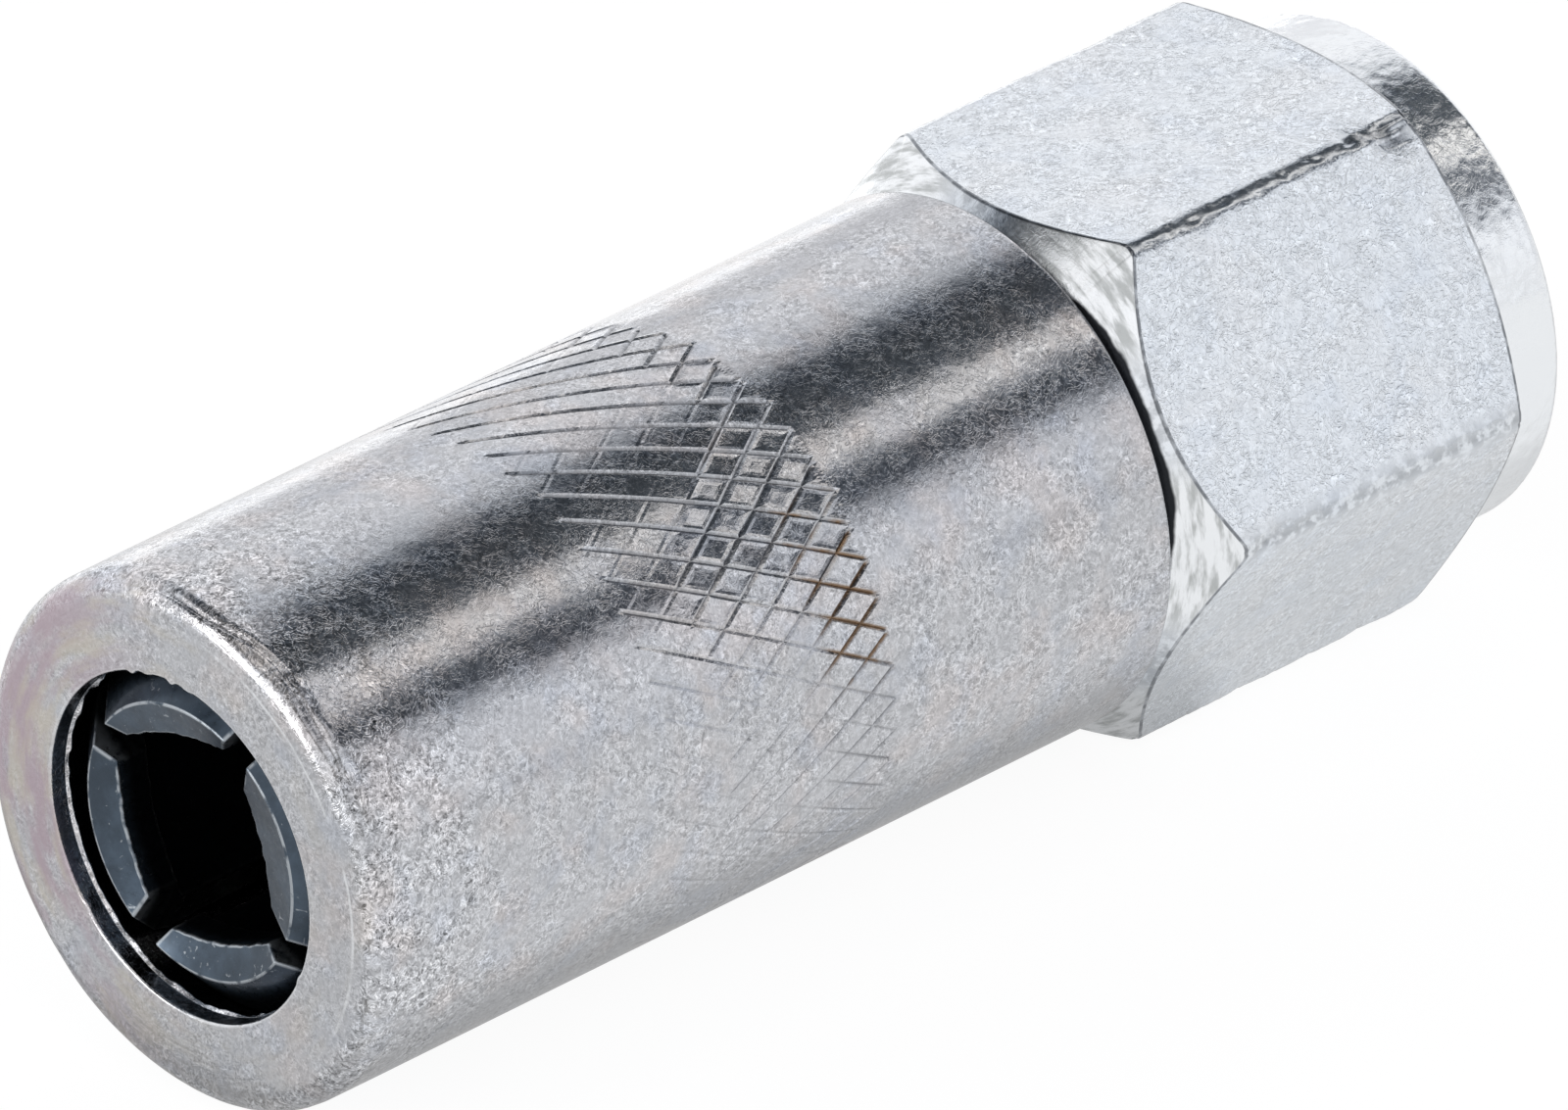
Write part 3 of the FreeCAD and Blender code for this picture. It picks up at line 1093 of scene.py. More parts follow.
class Tool:
    """A geometry node tree with named inputs that is run on an object and then baked."""

    def __init__(self, name: str, **inputs: float) -> None:
        """Make the tree's interface.

        Args:
            name: Name of the tree.
            **inputs: Its inputs and their values, underscores standing for spaces.
        """
        self.tree = bpy.data.node_groups.new(name, "GeometryNodeTree")
        self.graph = Graph(self.tree)
        face = self.tree.interface
        face.new_socket("Geometry", in_out="OUTPUT", socket_type="NodeSocketGeometry")
        face.new_socket("Geometry", in_out="INPUT", socket_type="NodeSocketGeometry")
        self.values = {}
        for label, value in inputs.items():
            kind = "NodeSocketInt" if isinstance(value, int) else "NodeSocketFloat"
            socket = face.new_socket(label.replace("_", " "), in_out="INPUT", socket_type=kind)
            self.values[socket.identifier] = value
        face.new_socket("Material", in_out="INPUT", socket_type="NodeSocketMaterial")
        self.entry = self.tree.nodes.new("NodeGroupInput")
        self.material_id = self.entry.outputs["Material"].identifier

    def input(self, label: str) -> Field:
        """One of the tree's inputs as a field."""
        return Field(self.graph, self.entry.outputs[label])

    def close(self, geometry: bpy.types.NodeSocket) -> None:
        """End the tree in Realize Instances and Set Material.

        Args:
            geometry: What the tree has made.
        """
        real = self.graph.add("GeometryNodeRealizeInstances", {0: geometry})
        painted = self.graph.add(
            "GeometryNodeSetMaterial",
            {"Geometry": real.outputs[0], "Material": self.entry.outputs["Material"]},
        )
        self.graph.add("NodeGroupOutput", {0: painted.outputs[0]})

    def apply(self, piece: bpy.types.Object, finish: Finish) -> bpy.types.Object:
        """Run the tree on a piece and bake the result into its mesh.

        Args:
            piece: The object that is worked on.
            finish: Its finish.

        Returns:
            The same object with a plain mesh.
        """
        modifier = piece.modifiers.new(self.tree.name, "NODES")
        modifier.node_group = self.tree
        for identifier, value in self.values.items():
            modifier[identifier] = value
        modifier[self.material_id] = finish.material()
        depsgraph = bpy.context.evaluated_depsgraph_get()
        result = piece.evaluated_get(depsgraph)
        mesh = bpy.data.meshes.new_from_object(result, preserve_all_data_layers=True, depsgraph=depsgraph)
        piece.modifiers.clear()
        raw = piece.data
        piece.data = mesh
        bpy.data.meshes.remove(raw)
        mesh.name = piece.name
        return piece


def about_axis(graph: Graph) -> tuple[Field, Field, Field, Field]:
    """Find where each point lies about the axis.

    Args:
        graph: The tool's tree.

    Returns:
        Station in metres, angle, and the two parts of the outward direction.
    """
    x, y, z = graph.split(graph.value("GeometryNodeInputPosition"))
    radius = graph.radius(y, z)
    return x * -1.0, graph.math("ARCTAN2", z, y), y / radius, z / radius


def shifted(tool: Tool, depth: Field, outward: tuple[Field, Field]) -> bpy.types.NodeSocket:
    """Move each point towards the axis.

    Args:
        tool: The tool.
        depth: How far, in metres.
        outward: The two parts of the outward direction.

    Returns:
        The moved geometry.
    """
    graph = tool.graph
    offset = graph.join(0.0, outward[0] * depth * -1.0, outward[1] * depth * -1.0)
    source = tool.entry.outputs["Geometry"]
    return graph.add("GeometryNodeSetPosition", {"Geometry": source, "Offset": offset}).outputs[0]


@dataclass(frozen=True)
class Knurl:
    """The knurl: two crossing families of grooves pressed into the sleeve.

    Attributes:
        lines: Grooves of each family round the sleeve.
        pitch: Axial distance between grooves.
        lean: Degrees between a groove and a circle round the sleeve.
        first: Station where the band starts.
        last: Station where it ends.
        width: Half width of a groove.
        depth: Depth of a groove.
        fade: Length over which a groove runs out.
        lip: How far the ground beside the grooves is pressed down.
        low_step: How much earlier the steep family ends on the low side.
        top_step: How much earlier it ends on the top.
        kept: Length at the rear end that isn't worn faint below.
        seed: Seed of the grooves' own lengths and depths.
    """

    lines: int = 48
    pitch: float = 1.7006
    lean: float = 60.0
    first: float = 24.3
    last: float = 32.1
    width: float = 0.0907
    depth: float = 0.075
    fade: float = 0.25
    lip: float = 0.02
    low_step: float = 1.9
    top_step: float = 6.2
    kept: float = 1.4
    seed: int = 11

    def tool(self) -> Tool:
        """Build the node tree.

        Returns:
            The tool; it also leaves the groove weight on the points.
        """
        tool = Tool(
            "knurl", Lines=self.lines, Pitch=self.pitch * MM, Width=self.width * MM,
            Depth=self.depth * MM, First=self.first * MM, Last=self.last * MM, Fade=self.fade * MM,
            Lip=self.lip * MM, Low_Step=self.low_step * MM, Top_Step=self.top_step * MM,
            Kept=self.kept * MM, Seed=self.seed,
        )
        graph, width = tool.graph, tool.input("Width")
        station, angle, out_y, out_z = about_axis(graph)
        around = angle * tool.input("Lines") / TURN
        along = (station - tool.input("First")) / tool.input("Pitch")
        step = tool.input("Top Step") - tool.input("Low Step")
        step = tool.input("Low Step") + step * graph.ramp(out_y, -0.8, -0.25)
        pressed = sunk = None
        for phase, steep in ((around + along, False), (around - along, True)):
            number = graph.math("ROUND", phase)
            gap = abs(phase - number) * (tool.input("Pitch") * math.cos(math.radians(self.lean))) / width
            chance = self.chance(tool, number)
            inside = self.inside(tool, station, chance, step if steep else None)
            cut = graph.ramp(gap, 1.0, 0.0) * inside * (chance * 0.35 + 0.65)
            away = graph.ramp(gap, 1.2, 2.2) * inside
            pressed = cut if pressed is None else graph.math("MAXIMUM", pressed, cut)
            sunk = away if sunk is None else graph.math("MINIMUM", sunk, away)
        shown = self.shown(tool, station, out_z)
        pressed = pressed * shown
        sunk = sunk * shown * tool.input("Lip")
        moved = shifted(tool, pressed * tool.input("Depth") + sunk, (out_y, out_z))
        named = {"Geometry": moved, "Name": "groove", "Value": pressed}
        stored = graph.add("GeometryNodeStoreNamedAttribute", named, data_type="FLOAT", domain="POINT")
        tool.close(stored.outputs[0])
        return tool

    def chance(self, tool: Tool, number: Field) -> Field:
        """A random value from 0 to 1 for each groove.

        Args:
            tool: The tool.
            number: The groove's number, which may be negative.

        Returns:
            The value; it comes round to the same groove after a whole turn.
        """
        whole = tool.graph.math("MODULO", number + 4.0 * self.lines, self.lines)
        inputs = {2: 0.0, 3: 1.0, "ID": whole, "Seed": tool.input("Seed")}
        return tool.graph.value("FunctionNodeRandomValue", inputs, 1, data_type="FLOAT")

    def inside(self, tool: Tool, station: Field, chance: Field, step: Field | None) -> Field:
        """Share of a groove that shows along the band.

        Args:
            tool: The tool.
            station: Station of the point.
            chance: The groove's random value.
            step: How much earlier this family ends, or None where it runs the whole band.

        Returns:
            1 inside the groove's own length, running out to 0 at both ends.
        """
        graph, fade = tool.graph, tool.input("Fade")
        start = tool.input("First") + chance * fade * 1.6
        end = tool.input("Last") - chance * fade * 1.2
        inside = graph.ramp(station, end + fade, end)
        if step is not None:
            short = graph.ramp(station, end - step + fade * 2.0, end - step)
            inside = graph.math("MAXIMUM", short, inside * 0.1)
        return inside * graph.ramp(station, start - fade, start)

    def shown(self, tool: Tool, station: Field, out_z: Field) -> Field:
        """How deep the knurl is pressed: less below, and uneven all over.

        Args:
            tool: The tool.
            station: Station of the point.
            out_z: Upward part of the outward direction.

        Returns:
            A share of the full depth.
        """
        graph = tool.graph
        ahead = station - tool.input("First") - tool.input("Kept")
        wear_and_edge_light = graph.ramp(out_z, 0.66, 0.5) * graph.ramp(ahead, 0.0, tool.input("Kept"))
        low_side = graph.ramp(out_z, -0.85, 0.0, 0.6, 1.0) * (1.0 - wear_and_edge_light * 0.5)
        place = graph.value("GeometryNodeInputPosition")
        return low_side * graph.ramp(graph.noise(place, 420.0, 2.0), 0.3, 0.6, 0.75, 1.0)


def thread_tool() -> Tool:
    """Tool that cuts a 60 degree thread where the points carry a thread weight.

    Returns:
        The tool; a positive weight cuts outwards, a negative one towards the axis.
    """
    tool = Tool(
        "thread", Pitch=THREAD_PITCH * MM, Depth=THREAD_DEPTH * MM, Crest=0.14, Flank=1.25, Root=0.9)
    graph = tool.graph
    station, angle, out_y, out_z = about_axis(graph)
    phase = graph.math("FRACT", station / tool.input("Pitch") + angle / TURN + 40.0)
    tooth = 1.0 - abs(phase - 0.5) * 2.0
    flank = graph.math("MAXIMUM", (tooth - tool.input("Crest")) * tool.input("Flank"), 0.0)
    cut = graph.math("MINIMUM", flank, tool.input("Root"))
    share = graph.value("GeometryNodeInputNamedAttribute", {"Name": "thread"}, data_type="FLOAT")
    tool.close(shifted(tool, cut * tool.input("Depth") * share * -1.0, (out_y, out_z)))
    return tool


def coil_tool(start: float, end: float, radius: float, wire: float, turns: float) -> Tool:
    """Tool that winds a spring with ground ends.

    Args:
        start: Station of its rear end.
        end: Station of its front end.
        radius: Mean radius.
        wire: Wire diameter.
        turns: Number of turns.

    Returns:
        The tool.
    """
    tool = Tool("coil", Start=start * MM, End=end * MM, Radius=radius * MM, Wire=wire * MM, Turns=turns)
    graph = tool.graph
    line = graph.add("GeometryNodeCurvePrimitiveLine")
    count = int(turns * COIL_STEPS)
    cut = graph.add("GeometryNodeResampleCurve", {"Curve": line.outputs[0], "Count": count})
    share = graph.value("GeometryNodeSplineParameter", output="Factor")
    angle = share * tool.input("Turns") * TURN
    height = tool.input("End") - tool.input("Start")
    centre = graph.join(
        (tool.input("Start") + share * height) * -1.0,
        graph.math("SINE", angle) * tool.input("Radius"),
        graph.math("COSINE", angle) * tool.input("Radius"),
    )
    helix = graph.add("GeometryNodeSetPosition", {"Geometry": cut.outputs[0], "Position": centre})
    round_wire = {"Resolution": WIRE_SIDES, "Radius": tool.input("Wire") * 0.5}
    section = graph.add("GeometryNodeCurvePrimitiveCircle", round_wire)
    swept = graph.add(
        "GeometryNodeCurveToMesh",
        {"Curve": helix.outputs[0], "Profile Curve": section.outputs[0], "Fill Caps": True},
    )
    x, y, z = graph.split(graph.value("GeometryNodeInputPosition"))
    front = graph.math("MAXIMUM", x, tool.input("End") * -1.0)
    kept = graph.join(graph.math("MINIMUM", front, tool.input("Start") * -1.0), y, z)
    ground = graph.add("GeometryNodeSetPosition", {"Geometry": swept.outputs[0], "Position": kept})
    smooth = graph.add("GeometryNodeSetShadeSmooth", {"Geometry": ground.outputs[0]})
    tool.close(smooth.outputs[0])
    return tool


def publish(piece: bpy.types.Object, node: str, body: str) -> bpy.types.Object:
    """Put a finished piece in place of its CAD node.

    Args:
        piece: The finished piece.
        node: The CAD node that it stands for.
        body: The body that it rides on.

    Returns:
        The piece.
    """
    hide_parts(node)
    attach(piece, body)
    log.info("%s: %d faces, rides on %s", piece.name, len(piece.data.polygons), body)
    return piece


@dataclass
class Sleeve:
    """Outer sleeve: rounded nose, closing cone, knurled band and screwed rear end.

    Attributes:
        face_row: Radius of a plain row on the nose face.
        face_kept: Radius within which the nose face has no dents.
        barrel_rows: Stations of plain rows on the barrel.
        band_margin: Length of the fine rows beyond the knurl.
        cells: Cells round the sleeve in each groove's spacing, and along it.
        inner_share: Outer columns for one inner column.
        thread_rows: Rows of points along the thread.
        nicks: Burrs at the mouth, each its angle, width in degrees and height.
        crease_at: Station of the folded crease round the nose edge.
        crease_middle: Angle of its middle, in degrees.
        crease_reach: Degrees that it runs to either side.
        knocks: Dents of the nose, each its angle, station, width, length in degrees and depth.
    """

    diameter: float = 14.997
    rim_at: float = 14.4
    nose_at: float = 42.6
    bore: float = 12.0
    thread_bore: float = 13.0
    thread_end: float = 23.7
    thread_chamfer: float = 0.3
    mouth: float = 9.74
    lip: float = 0.6
    cone_end: float = 38.895
    nose_rounding: float = 1.0
    face_row: float = 5.6
    face_kept: float = 6.3
    barrel_rows: tuple[float, ...] = (40.2, 36.0, 21.9, 18.0)
    knurl: Knurl = Knurl()
    band_margin: float = 0.3
    cells: int = 10
    inner_share: int = 3
    thread_rows: int = 69
    nicks: tuple[tuple[float, ...], ...] = (
        (70.0, 1.5, 0.09),
        (77.0, 2.6, 0.06),
        (88.0, 1.4, 0.10),
        (95.0, 2.0, 0.05),
        (205.0, 2.0, 0.05),
        (318.0, 2.4, 0.05),
    )
    crease_at: float = 42.2
    crease_depth: float = 0.07
    crease_width: float = 0.07
    crease_middle: float = 100.0
    crease_reach: float = 48.0
    knocks: tuple[tuple[float, ...], ...] = (
        (104.0, 41.75, 0.35, 13.0, 0.10),
        (127.0, 41.9, 0.3, 7.0, 0.06),
        (143.0, 41.6, 0.3, 5.0, 0.05),
        (75.0, 42.2, 0.2, 9.0, 0.05),
        (20.0, 42.1, 0.25, 8.0, 0.04),
        (90.0, 41.5, 0.45, 14.0, 0.07),
        (113.0, 42.3, 0.14, 8.0, 0.08),
        (132.0, 42.22, 0.14, 7.0, 0.08),
        (149.0, 42.15, 0.12, 5.0, 0.07),
    )

    def outside(self) -> list[Corner]:
        """Outline from the lip's wall over the nose and the barrel to the rim's face.

        Returns:
            Its corners.
        """
        radius, mouth = self.diameter / 2, self.mouth / 2
        return [
            Corner(self.nose_at - 0.22, mouth),
            Corner(self.nose_at, mouth, 0.07),
            Corner(self.nose_at, self.face_row),
            Corner(self.nose_at, radius, self.nose_rounding, 28),
            *[Corner(station, radius) for station in self.barrel_rows],
            Corner(self.rim_at, radius, 0.24, 5),
            Corner(self.rim_at, self.thread_bore / 2 + 0.55),
        ]

    def inside(self) -> list[Corner]:
        """Outline from the rim's face through the thread, bore and cone to the lip's wall.

        Returns:
            Its corners.
        """
        bore, thread, mouth = self.bore / 2, self.thread_bore / 2, self.mouth / 2
        lip_at, chamfer = self.nose_at - self.lip, self.thread_chamfer
        return [
            Corner(self.rim_at, thread + chamfer + 0.15),
            Corner(self.rim_at, thread + chamfer, 0.05),
            Corner(self.rim_at + chamfer, thread, 0.05),
            *rows_between(self.rim_at + 0.5, self.thread_end - 0.3, thread, self.thread_rows),
            Corner(self.thread_end, thread, 0.06),
            Corner(self.thread_end, bore, 0.06),
            Corner(self.cone_end, bore, 0.2),
            Corner(lip_at - 0.16, mouth + 0.05, 0.05),
            Corner(lip_at - 0.02, mouth - 0.09, 0.035),
            Corner(lip_at + 0.08, mouth, 0.04),
            Corner(self.nose_at - 0.3, mouth),
        ]

    def band_rows(self) -> np.ndarray:
        """Place the knurl's rows on the same grid as its grooves.

        Returns:
            Their stations.
        """
        first, last, step = self.knurl.first, self.knurl.last, self.knurl.pitch / self.cells
        count = math.ceil((last - first + 2 * self.band_margin) / step)
        return first - self.band_margin // step * step + step * (np.arange(count) - 1)

    def barrel(self, shell: Shell, angles: np.ndarray) -> Rings:
        """Add the outer rings, with the knurl's fine rows among them.

        Args:
            shell: The mesh.
            angles: Angles of the outer columns.

        Returns:
            The rings from the lip's wall to the rim's face.
        """
        rows = eased(self.outside(), closed=False)
        fine = [(station, self.diameter / 2, 0.0) for station in self.band_rows()[::-1]]
        split = next(index for index, row in enumerate(rows) if row[0] < fine[-1][0])
        rings = []
        for station, radius, edge in [*rows[:split], *fine, *rows[split:]]:
            dent = self.nose_dents(station, radius, angles) + self.mouth_nicks(radius, angles)
            rings.append(shell.ring(station, radius - dent, angles, edge=edge))
        for index, (ring, after) in enumerate(zip(rings, rings[1:])):
            if split <= index < split + len(fine) - 1:
                middle = (fine[index - split][0] + fine[index - split + 1][0]) / 2
                centre = shell.ring(middle, self.diameter / 2, angles + math.pi / len(angles))
                shell.crossed(ring, after, centre)
            else:
                shell.strip(ring, after)
        return rings

    def hollow(self, shell: Shell, angles: np.ndarray) -> Rings:
        """Add the inner rings, with the thread's weight and the lip's uneven edge.

        Args:
            shell: The mesh.
            angles: Angles of the inner columns.

        Returns:
            The rings from the rim's face to the lip's wall.
        """
        burr = 0.13 * round_noise(angles, 7.0, 3.1) + 0.07 * round_noise(angles, 20.0, 5.7)
        rings = []
        for station, radius, edge in eased(self.inside(), closed=False):
            cut = self.rim_at + 0.4 < station < self.thread_end - 0.2 and radius > self.bore / 2 + 0.3
            thread = max(0.0, min(1.0, (self.thread_end - 0.3 - station) / 1.2)) if cut else 0.0
            on_lip = radius < self.mouth / 2 - 0.03
            rings.append(shell.ring(station, radius + burr * on_lip, angles, edge=edge, thread=thread))
        shell.skin(rings, looped=False)
        return rings

    def mouth_nicks(self, radius: float, angles: np.ndarray) -> np.ndarray:
        """Depth of the burrs at the mouth's front edge.

        Args:
            radius: Radius of the ring.
            angles: Its angles.

        Returns:
            How far each point moves towards the axis.
        """
        depth = np.zeros(len(angles))
        if radius < self.mouth / 2 + 0.12:
            for angle, width, deep in self.nicks:
                depth += deep * np.exp(-(degrees_from(angles, angle) / width) ** 2)
        return depth

    def nose_dents(self, station: float, radius: float, angles: np.ndarray) -> np.ndarray:
        """Depth of the small dents that handling left round the nose edge.

        Args:
            station: Station of the ring.
            radius: Its radius.
            angles: Its angles.

        Returns:
            A depth for each point.
        """
        near = math.exp(-((station - self.nose_at + 0.55) / 0.7) ** 2)
        if radius <= self.face_kept or near < 0.02:
            return np.zeros(len(angles))
        waves = round_noise(angles, 2.6, station * 0.9)
        fine = round_noise(angles, 9.0, station * 3.0)
        depth = near * (0.05 * np.clip(waves, 0, 1) + 0.03 * np.clip(fine, 0, 1))
        for angle, spot, width, length, deep in self.knocks:
            away = degrees_from(angles, angle)
            depth += deep * np.exp(-((station - spot) / width) ** 2 - (away / length) ** 2)
        off = np.abs(np.degrees(angles) - self.crease_middle)
        along = np.clip(1 - off / self.crease_reach, 0, 1) ** 0.5
        line = self.crease_at + 0.3 * waves
        return depth + self.crease_depth * along * np.exp(-((station - line) / self.crease_width) ** 2)

    def build(self) -> bpy.types.Object:
        """Build the sleeve.

        Returns:
            The finished piece.
        """
        shell = Shell()
        angles = even_angles(self.knurl.lines * self.cells)
        outer = self.barrel(shell, angles)
        inner = self.hollow(shell, angles[:: self.inner_share])
        shell.stitch(outer[-1], inner[0])
        turned = len(shell.faces)
        shell.stitch(outer[0], inner[-1])
        shell.faces[turned:] = [face[::-1] for face in shell.faces[turned:]]
        piece = shell.object("sleeve_shell", SLEEVE_PLATE)
        for tool in (thread_tool(), self.knurl.tool()):
            tool.apply(piece, SLEEVE_PLATE)
        return publish(piece, "sleeve", Body.HOUSING.value)


@dataclass
class HexBody:
    """Hexagon body: chamfered bar, rear collar, threaded inlet and the spigot in front.

    Attributes:
        inlet_rows: Rows of points along the inlet's thread.
        spigot_rows: Rows along the spigot's thread.
        spigot_thread_at: Station where the spigot's thread begins.
        bar_rows: Rows along the hexagon.
        wear_reach: Degrees to either side of a corner that spanners have worn.
        wear_along: Stations between which they have.
        rough_corner: Number of the corner that is worn most.
        rough_gain: How much deeper its wear is.
        knock_reach: Half width of a knock, in degrees.
        knocks: Deeper knocks, each its station, angle, half length and depth.
    """

    across_flats: float = 14.9
    corner_rounding: float = 0.6
    face_at: float = 14.2
    face_diameter: float = 14.1
    front_angle: float = 45.0
    rear_angle: float = 60.0
    collar_diameter: float = 14.3
    collar_length: float = 2.0
    collar_rounding: float = 0.3
    inlet_diameter: float = 9.0
    inlet_depth: float = 8.5
    countersink: float = 0.4
    passage_diameter: float = 3.0
    passage_at: float = 10.303
    bore_at: float = 12.903
    bore_diameter: float = 8.0
    spigot_end: float = 23.7
    spigot_diameter: float = 12.9
    undercut: float = 1.0
    undercut_depth: float = 0.45
    bar_edge: float = 0.14
    inlet_rows: int = 65
    spigot_rows: int = 61
    spigot_thread_at: float = 15.7
    bar_rows: int = 84
    wear_reach: float = 3.2
    wear_along: Stretch = (2.2, 13.6)
    rough_corner: int = 3
    rough_gain: float = 1.6
    knock_reach: float = 4.0
    knocks: tuple[tuple[float, ...], ...] = (
        (3.4, 121.0, 0.95, 0.15),
        (4.7, 119.0, 0.5, 0.08),
        (12.0, 181.0, 0.6, 0.07),
    )

    def angles(self) -> np.ndarray:
        """Place the columns, dense at the hexagon's corners.

        Returns:
            Their angles.
        """
        end = math.degrees(self.corner_span())
        side = [*np.linspace(-end, end, 11), end + 0.4, *np.linspace(4.5, 55.5, 18), 59.6 - end]
        return np.radians(np.concatenate([np.array(side) + 60 * k for k in range(6)]))

    def off_corner(self, angle: np.ndarray | float) -> np.ndarray | float:
        """Degrees from the nearest corner, with their sign."""
        return (np.degrees(angle) + 30) % 60 - 30

    def corner_span(self) -> float:
        """Angle from a corner's middle to where its rounding meets the flat."""
        centre = (self.across_flats / 2 - self.corner_rounding) / FLAT_SHARE
        return math.atan2(self.corner_rounding / 2, centre + self.corner_rounding * FLAT_SHARE)

    def reach(self, angle: float) -> float:
        """Distance from the axis to the hexagon's surface.

        Args:
            angle: Angle about the axis.

        Returns:
            The distance, on a flat or on a rounded corner.
        """
        flat = self.across_flats / 2
        centre = (flat - self.corner_rounding) / FLAT_SHARE
        lateral = math.radians(self.off_corner(angle))
        if abs(lateral) < self.corner_span() + 1e-5:
            inner = self.corner_rounding ** 2 - (centre * math.sin(lateral)) ** 2
            return centre * math.cos(lateral) + math.sqrt(max(inner, 0.0))
        return flat / math.cos(TURN / 12 - abs(lateral))

    def front_at(self, angle: float) -> float:
        """Station where the front chamfer meets the hexagon at an angle."""
        proud = self.reach(angle) - self.face_diameter / 2
        return self.face_at - proud / math.tan(math.radians(self.front_angle))

    def outline(self, angle: float) -> list[Corner]:
        """Section of the body at one angle.

        Args:
            angle: Angle about the axis.

        Returns:
            Its closed outline.
        """
        bar, collar, face = self.reach(angle), self.collar_diameter / 2, self.face_diameter / 2
        front = self.front_at(angle)
        rear = self.collar_length + (bar - collar) / math.tan(math.radians(self.rear_angle))
        inlet, passage, bore = self.inlet_diameter / 2, self.passage_diameter / 2, self.bore_diameter / 2
        spigot = self.spigot_diameter / 2
        root = spigot - self.undercut_depth
        return [
            Corner(0.0, inlet + self.countersink, 0.05),
            Corner(self.countersink, inlet, 0.03),
            *rows_between(self.countersink + 0.1, self.inlet_depth - 0.2, inlet, self.inlet_rows),
            Corner(self.inlet_depth, inlet, 0.1),
            Corner(self.passage_at, passage, 0.08),
            Corner(self.bore_at, passage, 0.05),
            Corner(self.bore_at, bore, 0.1),
            Corner(self.spigot_end, bore, 0.15),
            Corner(self.spigot_end, spigot - 0.3, 0.05),
            Corner(self.spigot_end - 0.3, spigot, 0.05),
            *rows_between(
                self.spigot_end - 0.45, self.face_at + self.undercut + 0.6, spigot, self.spigot_rows),
            Corner(self.face_at + self.undercut + self.undercut_depth, spigot, 0.05),
            Corner(self.face_at + self.undercut, root, 0.12),
            Corner(self.face_at, root, 0.1),
            Corner(self.face_at, face, 0.05),
            Corner(front, bar, self.bar_edge, 4),
            *rows_between(front - 0.25, rear + 0.25, bar, self.bar_rows),
            Corner(rear, bar, self.bar_edge, 4),
            Corner(self.collar_length, collar, 0.05),
            Corner(0.0, collar, self.collar_rounding, 6),
        ]

    def corner_wear(self, sections: np.ndarray, angles: np.ndarray) -> np.ndarray:
        """Depth of the nicks that spanners left along the hexagon's corners.

        Args:
            sections: Stations and radii, by column.
            angles: Column angles.

        Returns:
            A depth for each point, by column.
        """
        depth = np.zeros(sections.shape[:2])
        first, last = self.wear_along
        for column, angle in enumerate(angles):
            near = 1 - abs(self.off_corner(angle)) / self.wear_reach
            if near <= 0:
                continue
            degrees, corner = round(math.degrees(angle)), round(math.degrees(angle) / 60)
            gain = near * (self.rough_gain if corner == self.rough_corner else 1.0)
            for row, (station, radius) in enumerate(sections[column, :, :2]):
                if radius < self.across_flats / 2 or not first < station < last:
                    continue
                coarse = noise.noise(Vector((station * 0.9, corner * 7.3, 1.7)))
                fine = noise.noise(Vector((station * 3.4, angle * 40.0, 4.1)))
                depth[column, row] = gain * (0.09 * max(0.0, coarse) + 0.075 * max(0.0, fine))
                for at, middle, length, deep in self.knocks:
                    away = math.hypot((station - at) / length, (degrees - middle) / self.knock_reach)
                    depth[column, row] += deep * max(0.0, 1 - away ** 2) ** 2
        return depth

    def thread_share(self, station: float, radius: float) -> float:
        """Thread weight of a ring: 1 in the inlet, -1 on the spigot, 0 elsewhere.

        Args:
            station: Its mean station.
            radius: Its mean radius.

        Returns:
            The weight, running out at the thread's ends.
        """
        if abs(radius - self.inlet_diameter / 2) < 0.01 and station < self.inlet_depth - 0.1:
            return min(1.0, (self.inlet_depth - 0.2 - station) / 1.2, station / 0.5)
        if abs(radius - self.spigot_diameter / 2) < 0.01:
            return -min(1.0, (self.spigot_end - station) / 0.5, (station - self.spigot_thread_at) / 0.8)
        return 0.0

    def build(self) -> bpy.types.Object:
        """Build the hexagon body.

        Returns:
            The finished piece.
        """
        angles = self.angles()
        sections = np.array([eased(self.outline(float(angle))) for angle in angles])
        wear = self.corner_wear(sections, angles)
        sections[:, :, 1] -= wear
        off = np.abs(self.off_corner(angles))
        rough = (np.degrees(angles) + 30) // 60 == self.rough_corner
        # Painted dark reflection along each corner, wider on the most worn corner.
        corner_line = np.clip(1 - off / np.where(rough, 4.2, 2.4), 0, 1) * np.where(rough, 0.6, 0.35)
        by_corner = np.clip((23 - off) / 9, 0, 1)
        fronts = np.array([self.front_at(float(angle)) for angle in angles])
        shell = Shell()
        rings = []
        for row in range(sections.shape[1]):
            station, radius, edge = sections[:, row].T
            thread = self.thread_share(float(station.mean()), float(radius.mean()))
            on_bar = (radius > self.across_flats / 2 - 0.2) & (station > 2.05) & (station < self.face_at)
            cone = (radius > self.face_diameter / 2 - 0.06) & (station > fronts + 0.03)
            # Knocks and the chamfer's arcs away from the corners also take the painted dark reflection.
            knocked = np.clip((wear[:, row] - 0.045) / 0.07, 0, 1) * 0.75
            for line in (corner_line * on_bar, knocked, cone * (1 - by_corner) * 0.45):
                edge = np.maximum(edge, line)
            weights = {"edge": edge, "cone": cone * by_corner, "thread": thread}
            rings.append(shell.ring(station, radius, angles, **weights))
        shell.skin(rings, looped=True)
        piece = shell.object("hexagon_body", HEXAGON_PLATE)
        thread_tool().apply(piece, HEXAGON_PLATE)
        return publish(piece, "hex_body", Body.HOUSING.value)


